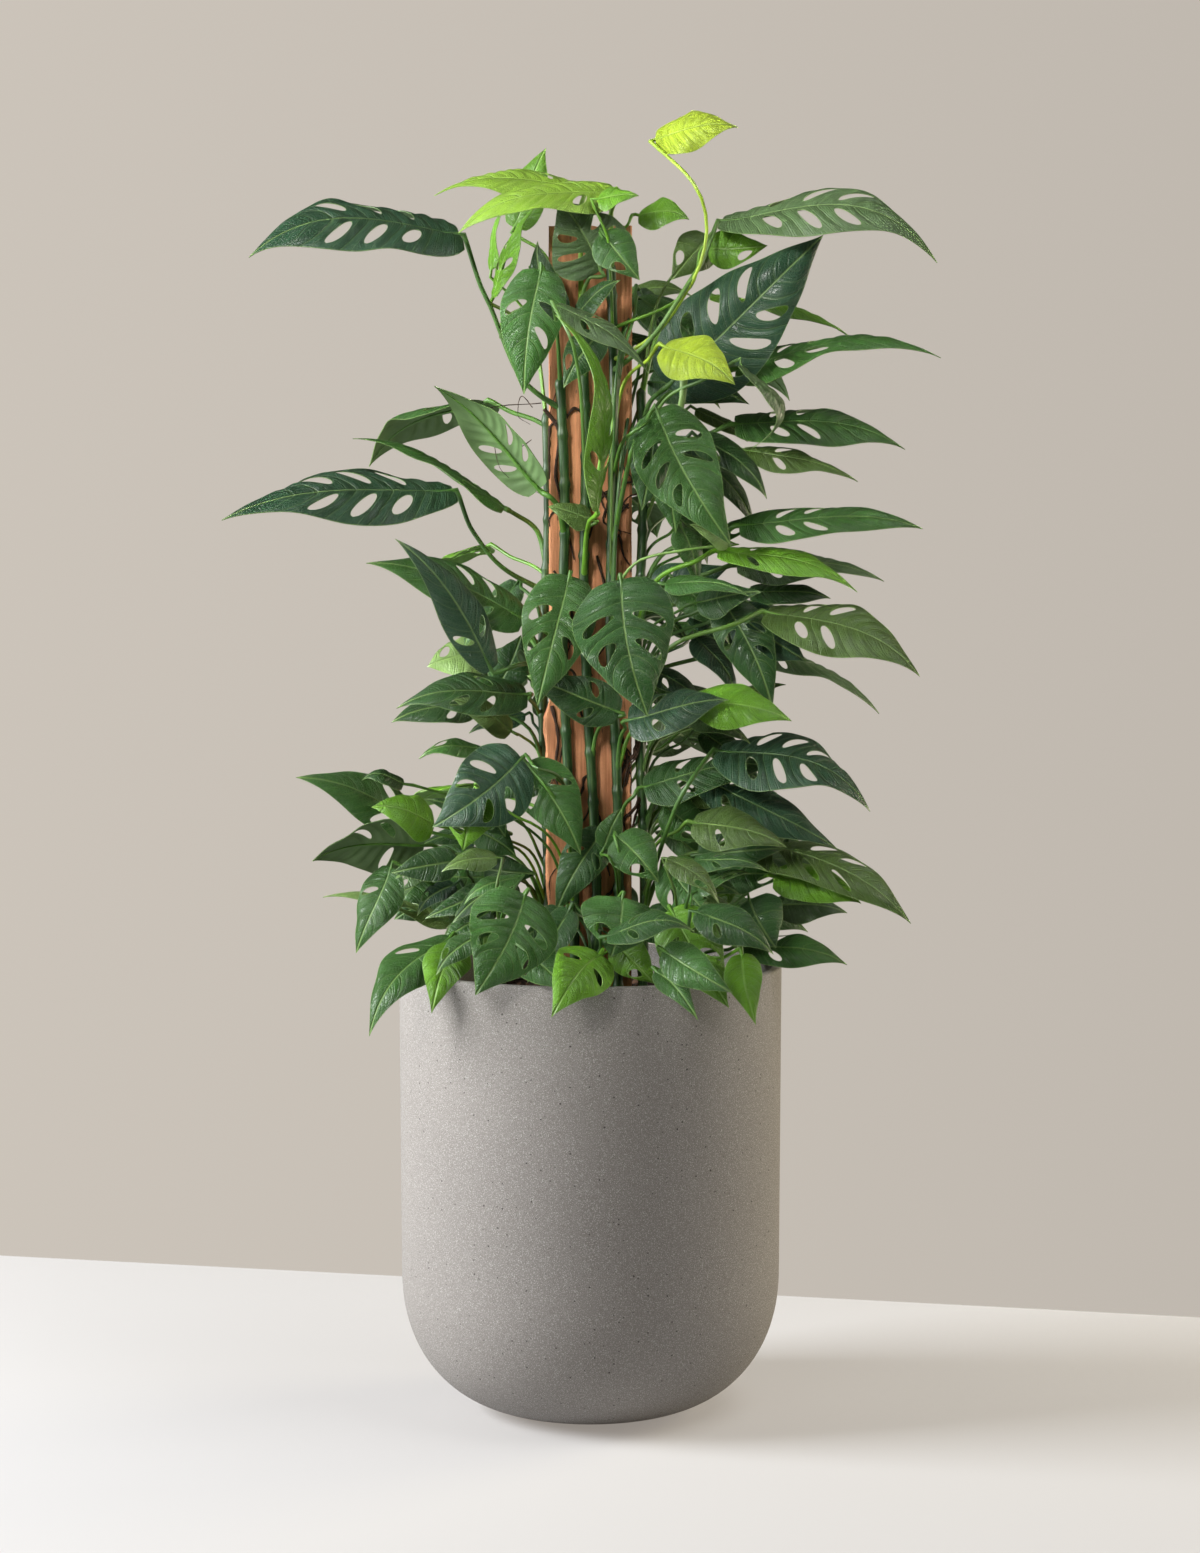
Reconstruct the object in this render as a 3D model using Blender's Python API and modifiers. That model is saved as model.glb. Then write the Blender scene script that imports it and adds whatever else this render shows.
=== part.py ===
"""A Monstera adansonii with its stems on a rough board, in a tall round-bottomed planter.

The origin is the middle of the planter's flat base, +Z is up, and the plant is seen from -Y.
The planter, the soil, the board and each leafy stem are separate solids. A leafy stem is one
solid: its stem, the leaf stalks that grow from it and its holed blades.
Sizes are in metres, and the places of the leaves are in centimetres, as CM says.
"""

import math
from dataclasses import dataclass

import bmesh
import bpy
import numpy as np

CM = 0.01
GAP = 0.0003
TAU = 2 * math.pi

# The planter
RIM_RADIUS = 0.180
POT_HEIGHT = 0.420
SHOULDER_HEIGHT = 0.135
SHOULDER_RADIUS = 0.1785
BASE_RADIUS = 0.063
WALL = 0.0095
FLOOR = 0.012
LIP_ROUND = 0.0025
POT_SIDES = 32
# The bowl below the shoulder: a superellipse of this power, and the heights of its rings outside and inside
BOWL_POWER = 2.3
BOWL_RINGS = (0.0, 0.004, 0.016, 0.036, 0.064, 0.098, SHOULDER_HEIGHT)
INNER_RINGS = (SHOULDER_HEIGHT, 0.060)

# The soil
SOIL_LEVEL = 0.387
SOIL_RINGS = (0.105,)
SOIL_SWELL = 0.004
# Waves in a metre of the soil's relief, as angles, by x and by y
SOIL_WAVES = (61, 53)

# The board
BOARD_WIDTH = 0.078
BOARD_THICKNESS = 0.024
BOARD_TOP = 1.110
BOARD_FOOT = 0.290
BOARD_SAG = 0.002
# Its left side below: how far it stands out past the plank, by height, where it is chewed
CHEWED = (
    (0.668, 0.0), (0.652, 0.007), (0.618, 0.004), (0.585, 0.007), (0.540, 0.003), (0.500, 0.005),
    (0.462, 0.0),
)

# The stems
STEM_RADIUS = 0.0046
STEM_SIDES = 5
STEM_DEPTH = 0.080
STEM_STEP = 0.120
STEM_SWAY = 0.004
# A stem is straight for this far above the soil, and its sway's turns and its tip's width follow
STEM_STRAIGHT = 0.004
STEM_TURNS = 9
STEM_TIP = 0.8
FRONT_LANE = -(BOARD_THICKNESS / 2 + STEM_RADIUS + GAP)
BACK_LANE = -FRONT_LANE

# The blades
BLADE_THICKNESS = 0.0012
LARGE_LEAF = 0.128
MEDIUM_LEAF = 0.066
# A hole's half length along the blade and across it, and its middle, as shares of the cell between two ribs
HOLE_ALONG = 0.22
HOLE_ACROSS = 0.30
HOLE_MIDDLE = 0.52
# The outline's power towards the tip, and the largest value that it would have undivided
TAPER = 1.2
PEAK = 0.357
# How the halves rise from the midrib, how their edges hang and how they wave, as shares of the half width
FOLD = 0.30
HANG = 0.46
WAVE = 0.13
WAVES = 1.3
WAVE_STEP = 0.37
WAVE_LAG = 1.7
# How the arch leans to the tip, how blades differ in turn and in bend, and how far the lobes reach back
ARCH_LEAN = 0.5
TURN_RANGE = 0.20
BEND_RANGE = 0.05
LOBE = 0.06
LOBE_END = 0.2

# How close the leaves may come to each other and to what else is there, and how far apart they are sampled
BLADE_ROOM = 0.0075
STALK_ROOM = 0.0066
SAMPLE = 0.0090
# The steps of depth that a blade tries, in centimetres, and how many each way
DEPTH_STEP = 0.7
DEPTH_STEPS = 14
# How far down the stem a stalk may start, and how far it may swing to the front or back
DROPS = (1.0, 0.7, 1.4, 0.4, 1.9, 0.1, 2.5, 3.2)
SWAYS = (0.0, -0.012, 0.012, -0.024, 0.024, -0.036, 0.036, -0.05, 0.05)
# A stalk starts this far below its blade, and further by this share of its way out to it
STALK_DROP = 0.030
STALK_SLOPE = 0.42
# A stalk stays this far above the soil and below its stem's tip
STALK_LOWEST = 0.012
STALK_HIGHEST = 0.010
# Its bow: a place near the blade and one near the stem, as shares of its way out and of its rise
NEAR_BLADE = (0.30, 0.12)
NEAR_STEM = (0.78, 0.45)
BOW = 0.05

# The place that the plant is seen from: leaves keep their place in that view at any depth
EYE = np.array([0.009, -3.000, 0.775])

# The side that a blade turns its upper face to
FACING = {
    "front": (0.0, -1.0, 0.15),
    "front_up": (0.0, -0.75, 0.66),
    "high": (0.0, -0.50, 0.87),
    "up": (0.0, -0.22, 0.97),
    "under": (0.15, 0.60, 0.60),
    "left": (-0.92, -0.30, 0.25),
    "right": (0.92, -0.30, 0.25),
    "front_left": (-0.50, -0.84, 0.20),
    "front_right": (0.50, -0.84, 0.20),
    "back": (0.0, 0.75, 0.66),
    "back_left": (-0.55, 0.60, 0.58),
    "back_right": (0.55, 0.60, 0.58),
}

# Each leafy stem: x and y where it leaves the soil, x and y at its top, and the height of its top, in
# centimetres
STEMS = {
    "stem_front_left": (-1.5, 100 * FRONT_LANE, -2.8, 100 * FRONT_LANE, 97.0),
    "stem_front_middle": (0.6, 100 * FRONT_LANE, -0.9, 100 * FRONT_LANE, 104.0),
    "stem_front_right": (2.6, 100 * FRONT_LANE, 1.9, 100 * FRONT_LANE, 107.5),
    "stem_left": (-4.3, 100 * BACK_LANE, -4.1, 100 * BACK_LANE, 94.0),
    "stem_right": (4.9, -0.4, 4.7, -0.6, 96.0),
    "stem_back_left": (-2.2, 100 * BACK_LANE, -2.4, 100 * BACK_LANE, 102.0),
    "stem_back_right": (2.4, 100 * BACK_LANE, 2.2, 100 * BACK_LANE, 99.0),
    "shoot_front": (0.4, -8.0, 0.6, -9.0, 46.5),
    "shoot_front_left": (-8.0, -5.5, -8.4, -6.6, 46.5),
    "shoot_front_right": (8.2, -5.5, 8.8, -6.6, 46.0),
    "shoot_side_left": (-9.6, 3.0, -10.4, 3.0, 48.0),
    "shoot_side_right": (9.6, 3.4, 10.6, 3.4, 47.5),
    "shoot_back": (0.6, 8.6, 0.8, 9.6, 47.0),
}


@dataclass(frozen=True)
class Leaf:
    """A leaf as it is seen: places are x and z on the plane y = 0, and depths are the y that they lie at."""

    stem: str
    base: tuple
    tip: tuple
    depth: tuple
    width: float
    facing: str
    holes: int = 0
    arch: float = 0.08
    twist: float = 0.0
    route: tuple = ()


FL, FM, FR = "stem_front_left", "stem_front_middle", "stem_front_right"
SL, SR, BL, BR = "stem_left", "stem_right", "stem_back_left", "stem_back_right"
HF, HL, HR = "shoot_front", "shoot_front_left", "shoot_front_right"
HSL, HSR, HB = "shoot_side_left", "shoot_side_right", "shoot_back"

TOP_LEAVES = (
    Leaf(FR, (6.2, 119.0), (13.7, 120.1), (-3, -4), 5.6, "front_up", 0, 0.12, 0,
         ((8.8, 116), (10.6, 113), (10.4, 108), (6.6, 101.5))),
    Leaf(FL, (-12.5, 110.2), (-31.8, 108.1), (-4, -8), 11.0, "high", 6, 0.12, 0,
         ((-9.5, 104), (-6.5, 97))),
    Leaf(FM, (-1.0, 114.6), (-14.5, 113.8), (0, 1), 6.5, "high", 2, 0.10),
    Leaf(FR, (2.0, 114.2), (-12.3, 110.3), (-3, -5), 6.5, "high", 2, 0.14),
    Leaf(FR, (0.8, 113.5), (4.5, 113.8), (-5, -6), 3.0, "front_up"),
    Leaf(BL, (-7.0, 111.0), (-4.1, 118.2), (4, 3), 4.5, "front_left", 1),
    Leaf(SL, (-9.0, 104.5), (-4.5, 113.3), (-1.5, -1), 5.0, "left", 3),
    Leaf(SL, (-9.2, 107.0), (-8.0, 112.8), (1.5, 1.5), 3.0, "left"),
    Leaf(FM, (0.9, 107.0), (-3.0, 113.4), (-4.5, -4.5), 7.5, "front", 4),
    Leaf(FR, (1.2, 110.3), (4.6, 106.0), (-5.5, -6.5), 4.0, "front", 1),
    Leaf(FM, (-1.0, 103.0), (2.8, 106.0), (-5, -6), 3.0, "front_up"),
    Leaf(FR, (12.6, 111.4), (32.3, 107.6), (-3, -7), 8.5, "high", 6, 0.18, 0,
         ((9, 105.5), (5.6, 100.5))),
    Leaf(FR, (11.0, 109.0), (16.5, 109.2), (-5, -6), 3.6, "front", 1, 0.06, 0, ((8.4, 104.4),)),
    Leaf(SR, (11.0, 110.0), (7.5, 106.0), (-1, -2), 4.0, "front", 2),
    Leaf(FR, (4.6, 112.0), (9.2, 111.6), (-3, -4), 3.8, "front_up", 0, 0.12),
    Leaf(SR, (7.5, 96.5), (21.7, 110.2), (-4, -5), 9.6, "front", 6),
    Leaf(SR, (11.5, 104.5), (24.5, 100.5), (2, 1), 6.0, "up", 2),
    Leaf(FR, (7.0, 99.8), (13.5, 96.3), (-10, -12), 5.5, "front_up", 0, 0.10),
    Leaf(SR, (14.0, 97.8), (32.7, 98.8), (-1.5, -5), 8.5, "high", 4, 0.10, 0.4),
    Leaf(SR, (14.0, 98.0), (15.2, 90.5), (-2, -2), 5.0, "right", 0, 0.42),
    Leaf(FL, (-4.6, 106.8), (-6.2, 95.4), (-6, -6), 6.0, "front", 3),
    Leaf(FM, (-3.0, 102.5), (-4.9, 109.6), (-4.5, -4.5), 3.8, "front_left", 1),
    Leaf(FM, (-3.0, 103.6), (5.4, 97.4), (-7, -8), 3.8, "high", 2),
    Leaf(FM, (0.8, 101.0), (-2.5, 96.0), (-5.5, -6), 3.6, "front", 1),
    Leaf(FM, (0.5, 85.0), (-3.3, 102.8), (-4, -6), 6.0, "right", 3, 0.16),
)

MIDDLE_LEAVES = (
    Leaf(SR, (13.8, 92.6), (29.4, 90.3), (-1, 0), 8.0, "high", 4, 0.08),
    Leaf(SR, (14.5, 90.2), (25.0, 87.3), (-4, -5), 4.6, "high", 2),
    Leaf(SR, (14.3, 83.2), (31.1, 82.9), (-2, -3), 5.8, "high", 4, 0.08),
    Leaf(SR, (12.3, 80.7), (25.0, 77.0), (-5, -7), 4.8, "high", 2),
    Leaf(BR, (14.0, 79.5), (27.5, 78.0), (4, 4), 6.0, "high", 2),
    Leaf(BR, (15.0, 77.0), (22.5, 76.4), (2, 2), 4.0, "high"),
    Leaf(FR, (13.0, 81.7), (9.3, 83.3), (-4, -5), 2.8, "front_up"),
    Leaf(SR, (8.5, 83.0), (9.8, 77.5), (-2, -2), 3.2, "front_right"),
    Leaf(SR, (7.2, 88.5), (8.0, 82.5), (-3, -3), 3.2, "front"),
    Leaf(FR, (6.3, 93.7), (13.2, 81.3), (-8, -11), 7.4, "front", 5, 0.10, 0, ((4, 90.5),)),
    Leaf(FR, (6.0, 93.0), (4.8, 84.6), (-6, -6), 4.5, "front", 2),
    Leaf(SR, (12.5, 76.0), (17.1, 66.0), (-5, -6), 5.0, "front", 3),
    Leaf(SR, (10.0, 76.0), (16.0, 77.0), (-4, -5), 4.0, "front_up"),
    Leaf(SR, (13.8, 75.0), (20.3, 70.5), (-3, -4), 5.0, "front", 2),
    Leaf(SR, (16.8, 75.0), (30.9, 69.1), (-5, -8), 8.0, "high", 4, 0.10),
    Leaf(BR, (14.8, 72.0), (27.1, 65.6), (1, 1), 6.0, "up", 1),
    Leaf(FR, (3.7, 65.0), (13.0, 66.9), (-7, -9), 6.0, "front_up", 2, 0.10),
    Leaf(FR, (9.8, 66.8), (18.9, 64.9), (-9, -10), 5.0, "front_up", 0, 0.10),
    Leaf(SR, (9.5, 65.2), (15.0, 62.8), (-6, -7), 3.2, "high"),
    Leaf(FL, (-5.0, 86.8), (-14.6, 96.2), (-4, -6), 6.0, "under", 4),
    Leaf(SL, (-8.4, 85.0), (-22.2, 91.3), (-2, -4), 6.0, "up", 2, 0.08),
    Leaf(SL, (-13.2, 86.4), (-34.5, 83.7), (-4, -9), 9.5, "high", 6, 0.08, 0,
         ((-9, 80),)),
    Leaf(FM, (0.0, 83.8), (-4.0, 85.0), (-4.5, -5), 3.0, "front_up"),
    Leaf(FL, (-6.6, 74.6), (-21.0, 79.7), (-5, -7), 6.4, "front_up", 3, 0.08),
    Leaf(SL, (-9.5, 70.0), (-18.3, 82.0), (-6, -8), 4.4, "front_up", 2),
    Leaf(SL, (-10.3, 71.4), (-15.3, 70.0), (1, 0.5), 5.0, "front_up", 1, 0.10),
    Leaf(SL, (-6.2, 67.4), (-18.2, 66.1), (-4, -6), 5.6, "front_up", 3, 0.16),
    Leaf(SL, (-8.5, 68.5), (-6.5, 73.0), (-3, -3), 4.0, "front", 1),
    Leaf(SL, (-7.5, 64.0), (-13.0, 67.0), (-2, -3), 3.2, "front_up"),
    Leaf(FL, (-6.6, 61.3), (-14.9, 54.9), (-8, -10), 7.4, "front", 4),
)

FRONT_LEAVES = (
    Leaf(FL, (-2.0, 78.3), (-5.0, 66.3), (-7, -9), 6.8, "front", 4),
    Leaf(FR, (2.9, 78.0), (5.4, 65.3), (-9, -12), 9.3, "front", 6),
    Leaf(FM, (2.6, 65.8), (-6.0, 69.2), (-6, -6), 4.4, "front", 2),
    Leaf(FL, (-6.0, 60.8), (-0.9, 52.3), (-7, -8), 5.5, "front", 2),
    Leaf(FL, (-4.0, 60.2), (-9.8, 57.2), (-6, -7), 3.8, "front_up", 1),
    Leaf(FM, (1.2, 54.5), (-3.3, 46.8), (-5.5, -6), 4.2, "front", 2),
    Leaf(FR, (1.3, 53.0), (3.0, 56.8), (-6, -6), 2.4, "front"),
    Leaf(FR, (2.6, 54.0), (6.4, 49.7), (-7.5, -9), 4.5, "front", 1),
    Leaf(SR, (7.3, 51.4), (12.8, 45.1), (-9, -11), 5.2, "front", 2),
    Leaf(HR, (7.7, 47.0), (13.1, 37.8), (-12, -16), 5.8, "front", 3, 0.10),
    Leaf(HF, (3.0, 48.2), (1.9, 42.6), (-13, -15), 7.3, "front", 2),
    Leaf(HF, (2.4, 43.8), (6.1, 40.1), (-14, -15), 3.6, "front", 1),
    Leaf(HF, (0.8, 42.8), (-3.7, 36.9), (-15, -20.5), 5.5, "front", 2, 0.18),
    Leaf(HL, (-6.6, 43.6), (-1.6, 39.1), (-15.5, -19.5), 3.9, "front", 1, 0.12),
    Leaf(HR, (6.3, 41.2), (10.2, 36.6), (-15, -19.5), 2.4, "front", 0, 0.16),
    Leaf(HR, (7.0, 43.2), (13.5, 39.2), (-12, -15.5), 3.8, "front", 0, 0.12),
    Leaf(HR, (14.3, 42.8), (15.6, 36.2), (-9.5, -13), 3.4, "front", 0, 0.16),
    Leaf(SR, (5.0, 46.5), (9.0, 44.0), (-5, -6), 4.0, "front"),
)

LOWER_LEAVES = (
    Leaf(SR, (12.3, 62.0), (26.3, 56.4), (-5, -8), 9.5, "high", 6, 0.14, 0, ((8.6, 58),)),
    Leaf(FR, (5.2, 58.7), (17.2, 60.6), (-4, -4), 6.5, "high", 3),
    Leaf(SR, (10.5, 59.7), (23.3, 52.8), (-7, -9), 5.6, "front_up", 2),
    Leaf(SR, (9.8, 55.3), (18.5, 53.0), (-6.5, -8), 5.0, "front_up", 1),
    Leaf(SR, (14.5, 53.8), (30.2, 45.8), (-7, -11), 6.8, "high", 6, 0.08),
    Leaf(HSR, (12.5, 51.6), (27.2, 50.4), (2, 2), 6.0, "up", 2),
    Leaf(HSR, (12.6, 50.5), (18.7, 50.3), (0, 0), 4.0, "front_up", 1),
    Leaf(HSR, (17.5, 50.2), (25.5, 47.7), (-2, -3), 4.5, "front_up"),
    Leaf(HSR, (17.5, 47.5), (24.2, 46.8), (-0.5, -1), 4.0, "front_up"),
    Leaf(HR, (15.0, 48.0), (17.5, 43.5), (-6, -7), 5.5, "front", 1),
    Leaf(HSR, (14.5, 43.6), (24.2, 41.9), (-3, -4), 5.0, "high", 2, 0.10),
    Leaf(HL, (-6.2, 48.4), (-10.9, 39.0), (-15, -18.5), 8.2, "front", 4, 0.12),
    Leaf(HSL, (-13.3, 44.4), (-20.9, 35.1), (-8, -15), 5.8, "front_left", 2, 0.18),
    Leaf(HL, (-12.6, 43.6), (-15.0, 37.3), (-12.5, -17), 4.2, "front", 0, 0.18),
    Leaf(HL, (-7.0, 45.0), (-10.3, 40.6), (-11, -13), 3.6, "front"),
    Leaf(HSL, (-18.8, 51.0), (-22.1, 43.0), (-4, -5), 4.5, "front_left", 1),
    Leaf(HSL, (-13.5, 46.0), (-25.2, 48.3), (-3, -4), 5.0, "up", 2),
    Leaf(HSL, (-13.5, 48.5), (-18.5, 46.2), (-1, -1), 4.0, "front"),
    Leaf(HSL, (-10.0, 50.2), (-15.0, 50.0), (1, 1), 3.6, "front_up"),
    Leaf(SL, (-15.8, 53.2), (-26.2, 51.7), (-2, -5), 7.0, "under", 3, 0.06),
    Leaf(SL, (-16.0, 54.8), (-27.7, 59.6), (2, 0), 5.5, "front_up", 2),
    Leaf(SL, (-14.8, 55.2), (-20.6, 56.8), (-5, -7), 4.8, "front_up", 0, 0.12),
    Leaf(SL, (-17.6, 59.0), (-21.5, 59.3), (-1, -1), 3.0, "high", 0, 0.25),
    Leaf(FL, (-11.0, 58.0), (-12.0, 52.7), (-9, -10), 4.8, "front", 2),
    Leaf(SL, (-11.3, 52.5), (-18.4, 50.0), (-6, -8), 4.0, "high"),
    Leaf(FL, (-11.0, 58.0), (-8.0, 54.0), (-7, -7), 4.0, "front", 1),
    Leaf(SL, (-10.5, 54.5), (-7.0, 52.2), (-5, -5), 3.2, "front"),
    Leaf(SL, (-10.0, 51.0), (-5.0, 50.5), (-4, -4), 3.0, "front"),
    Leaf(HSL, (-14.0, 49.8), (-19.5, 47.6), (2, 2), 4.2, "front_up", 1),
    Leaf(HSL, (-9.5, 47.0), (-13.8, 44.2), (-9, -10), 3.8, "front_up"),
    Leaf(SL, (-7.2, 47.6), (-11.8, 51.2), (2, 3), 4.0, "front", 1),
    Leaf(HR, (9.5, 47.5), (14.0, 49.0), (-3, -3), 4.0, "front_up", 1),
    Leaf(SR, (7.0, 57.0), (11.5, 53.5), (-1, -1), 4.0, "front", 1),
    Leaf(HF, (-2.5, 47.0), (-5.5, 43.0), (-9, -10), 4.0, "front", 1),
    Leaf(HSR, (12.0, 47.5), (20.5, 45.0), (5, 6), 5.0, "high", 1),
)

# The leaves at the back follow a rule: how many, and how they are spread round and up the stems
BACK_LEAVES = 14
BACK_LOWEST = 50.0
BACK_HIGHEST = 108.0
BACK_SPREAD = 11.0
BACK_TURN = 2.4
# Their length and how it varies, how far they hang and reach back, and their width, as shares of that length
BACK_REACH = 10.0
BACK_REACH_RANGE = 3.5
BACK_OUT = 0.9
BACK_FALL = 0.45
BACK_DEEP = 0.75
BACK_WIDTH = 0.62
# How far behind the board they start, in centimetres, and how that varies
BACK_START = 6.5
BACK_START_RANGE = (3.0, 2.0)
# Below this height they grow from the shoot at the back
BACK_SHOOT_TOP = 54

# The ribs of a blade by size: where each leaves the midrib and where it meets the edge, both along the blade.
# FIRST is the edge's point nearest the stalk, and LAST the one before the tip, where there is one.
RIBS = {
    "large": ((0.11, 0.21), (0.25, 0.41), (0.41, 0.59), (0.58, 0.77)),
    "medium": ((0.15, 0.27), (0.34, 0.53), (0.55, 0.77)),
    "small": ((0.30, 0.44),),
}
FIRST = {"large": 0.03, "medium": 0.04, "small": 0.06}
LAST = {"large": 0.87, "medium": None, "small": 0.74}
# The cells between ribs that take a hole, in the order that holes are given out: side and number of the cell
HOLE_ORDER = {
    "large": ((1, 1), (-1, 1), (1, 2), (-1, 2), (1, 3), (-1, 3)),
    "medium": ((1, 1), (-1, 1), (-1, 2), (1, 2)),
    "small": ((1, 1),),
}
STALK_PARTS = {"large": 3, "medium": 2, "small": 2}
STALK_RADIUS = {"large": 0.0021, "medium": 0.0016, "small": 0.0013}
# The stalk runs straight on from the midrib this far before it turns
NECK = 0.007


def seen(x, z, y):
    """The point at depth y that covers the point x, z of the plane y = 0, all in centimetres."""
    on_plane = np.array([x, 0.0, z]) * CM
    return EYE + (on_plane - EYE) * (1 + y * CM / -EYE[1])


def unit(vector):
    """The vector at length one."""
    return vector / np.linalg.norm(vector)


def outline(s):
    """Half the blade's width along it, as a share of the largest: round at the stalk, pointed at the tip."""
    s = np.clip(s, 0.0, 1.0)
    return np.sqrt(s) * (1 - s) ** TAPER / PEAK


class Blade:
    """The surface of one leaf. s runs from 0 at the stalk to 1 at the tip, t from -1 to 1 across."""

    def __init__(self, leaf, number, shift=0.0):
        self.leaf = leaf
        self.number = number
        self.base = seen(*leaf.base, leaf.depth[0] + shift)
        chord = seen(*leaf.tip, leaf.depth[1] + shift) - self.base
        self.length = float(np.linalg.norm(chord))
        self.along = chord / self.length
        hint = np.array(FACING[leaf.facing])
        self.up = unit(hint - hint.dot(self.along) * self.along)
        self.side = np.cross(self.along, self.up)
        self.half = leaf.width * CM / 2
        if self.length > LARGE_LEAF:
            self.size = "large"
        elif self.length > MEDIUM_LEAF:
            self.size = "medium"
        else:
            self.size = "small"

    def points(self, s, t):
        """Points of the surface: an arched midrib, halves that rise from it, hang and wave, and a twist."""
        s = np.asarray(s, float)
        t = np.asarray(t, float)
        spread = self.half * outline(s)
        across = spread * t
        wave = np.sin(TAU * (WAVES * s + WAVE_STEP * self.number) + WAVE_LAG * t)
        rise = spread * (FOLD * np.abs(t) - HANG * t**2 + WAVE * t**2 * wave)
        turn = (self.leaf.twist + TURN_RANGE * math.sin(2.1 * self.number)) * s
        sideways = across * np.cos(turn) - rise * np.sin(turn)
        bow = 4 * s * (1 - s) * self.length
        arch = self.leaf.arch * bow * (1 + ARCH_LEAN * (2 * s - 1))
        lift = across * np.sin(turn) + rise * np.cos(turn) + arch
        bend = BEND_RANGE * math.sin(1.7 * self.number) * bow
        back = LOBE * np.clip(1 - s / LOBE_END, 0, 1) ** 2 * np.abs(t)
        along = self.length * (s - back)
        return (
            self.base
            + along[..., None] * self.along
            + (sideways + bend)[..., None] * self.side
            + lift[..., None] * self.up
        )

    def normals(self, s, t):
        """Directions square to the surface."""
        step = 0.02
        s = np.clip(np.asarray(s, float), 0.03, 0.95)
        t = np.asarray(t, float)
        run = self.points(s + step, t) - self.points(s - step, t)
        spread = self.points(s, t + step) - self.points(s, t - step)
        normal = np.cross(run, spread)
        return normal / np.linalg.norm(normal, axis=-1, keepdims=True)

    def samples(self):
        """A grid of points over the blade, about SAMPLE apart."""
        rows = max(4, math.ceil(self.length / SAMPLE) + 1)
        columns = max(3, math.ceil(2 * self.half / SAMPLE) + 1)
        s, t = np.meshgrid(np.linspace(0.02, 1, rows), np.linspace(-1, 1, columns), indexing="ij")
        return self.points(s, t).reshape(-1, 3)


class Crowd:
    """The room that is taken, as points, each with the name of what it belongs to."""

    def __init__(self):
        self.points = np.empty((0, 3))
        self.owners = np.empty(0, dtype=object)

    def add(self, points, owner):
        self.points = np.vstack([self.points, points])
        self.owners = np.concatenate([self.owners, np.full(len(points), owner, dtype=object)])

    def without(self, owners):
        """The taken points that belong to none of the owners."""
        keep = ~np.isin(self.owners.astype(str), list(owners))
        return self.points[keep]


def clashes(points, taken, room):
    """How many of the points have a taken point nearer than room."""
    low = points.min(axis=0) - room
    high = points.max(axis=0) + room
    near = taken[((taken > low) & (taken < high)).all(axis=1)]
    if not len(near):
        return 0
    apart = np.linalg.norm(points[:, None] - near[None], axis=2).min(axis=1)
    return int((apart < room).sum())


def back_leaves():
    """The leaves that face away, by even steps up the back, each turned by a fixed angle from the last."""
    leaves = []
    for i in range(BACK_LEAVES):
        height = BACK_LOWEST + (BACK_HIGHEST - BACK_LOWEST) * i / (BACK_LEAVES - 1)
        aside = math.sin(BACK_TURN * i)
        x = BACK_SPREAD * aside
        reach = BACK_REACH + BACK_REACH_RANGE * math.cos(1.3 * i)
        facing = "back" if abs(aside) < 0.4 else "back_left" if aside < 0 else "back_right"
        stem = HB if height < BACK_SHOOT_TOP else BL if aside < 0 else BR
        depth = BACK_START + BACK_START_RANGE[0] * (1 - abs(aside)) + BACK_START_RANGE[1] * math.sin(2.9 * i)
        tip = (x + BACK_OUT * reach * aside, height - BACK_FALL * reach)
        depths = (depth, depth + BACK_DEEP * reach)
        leaves.append(Leaf(stem, (x, height), tip, depths, BACK_WIDTH * reach, facing, 1 + i % 2, 0.10))
    return leaves


def stem_corners(name):
    """The middle of a stem where it bends: straight in the soil, with a slow sway above it."""
    x0, y0, x1, y1, top = (value * CM for value in STEMS[name])
    parts = max(2, round((top - SOIL_LEVEL) / STEM_STEP))
    z = np.array([SOIL_LEVEL - STEM_DEPTH, *np.linspace(SOIL_LEVEL + STEM_STRAIGHT, top, parts + 1)])
    share = np.clip((z - z[1]) / (top - z[1]), 0, 1)
    sway = STEM_SWAY * np.sin(STEM_TURNS * share) * np.sin(math.pi * share)
    return np.stack([x0 + (x1 - x0) * share + sway, y0 + (y1 - y0) * share, z], axis=-1)


def stem_axis(name, z):
    """The middle of a stem at heights z, in metres."""
    corners = stem_corners(name)
    x, y = (np.interp(z, corners[:, 2], corners[:, k]) for k in (0, 1))
    return np.stack([x, y, z], axis=-1)


def fixtures():
    """Points on what the leaves stay clear of: the board, the rim and wall of the planter, and the soil."""
    step = 0.008
    half = BOARD_WIDTH / 2
    x, z = np.meshgrid(np.linspace(-half, half, 11), np.arange(SOIL_LEVEL, BOARD_TOP, step))
    deep = BOARD_THICKNESS / 2
    sheets = [np.stack([x, np.full_like(x, y), z], -1) for y in (-deep, 0, deep)]
    turn, depth = np.meshgrid(np.linspace(0, TAU, 150, endpoint=False), np.arange(0.001, 0.065, step))
    for radius in (RIM_RADIUS - 0.001, RIM_RADIUS - WALL):
        sheets.append(np.stack([radius * np.cos(turn), radius * np.sin(turn), POT_HEIGHT - depth], -1))
    reach = RIM_RADIUS - WALL
    x, y = np.meshgrid(np.arange(-reach, reach, step), np.arange(-reach, reach, step))
    sheets.append(np.stack([x, y, np.full_like(x, SOIL_LEVEL + SOIL_SWELL)], -1))
    return np.vstack([sheet.reshape(-1, 3) for sheet in sheets])


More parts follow.
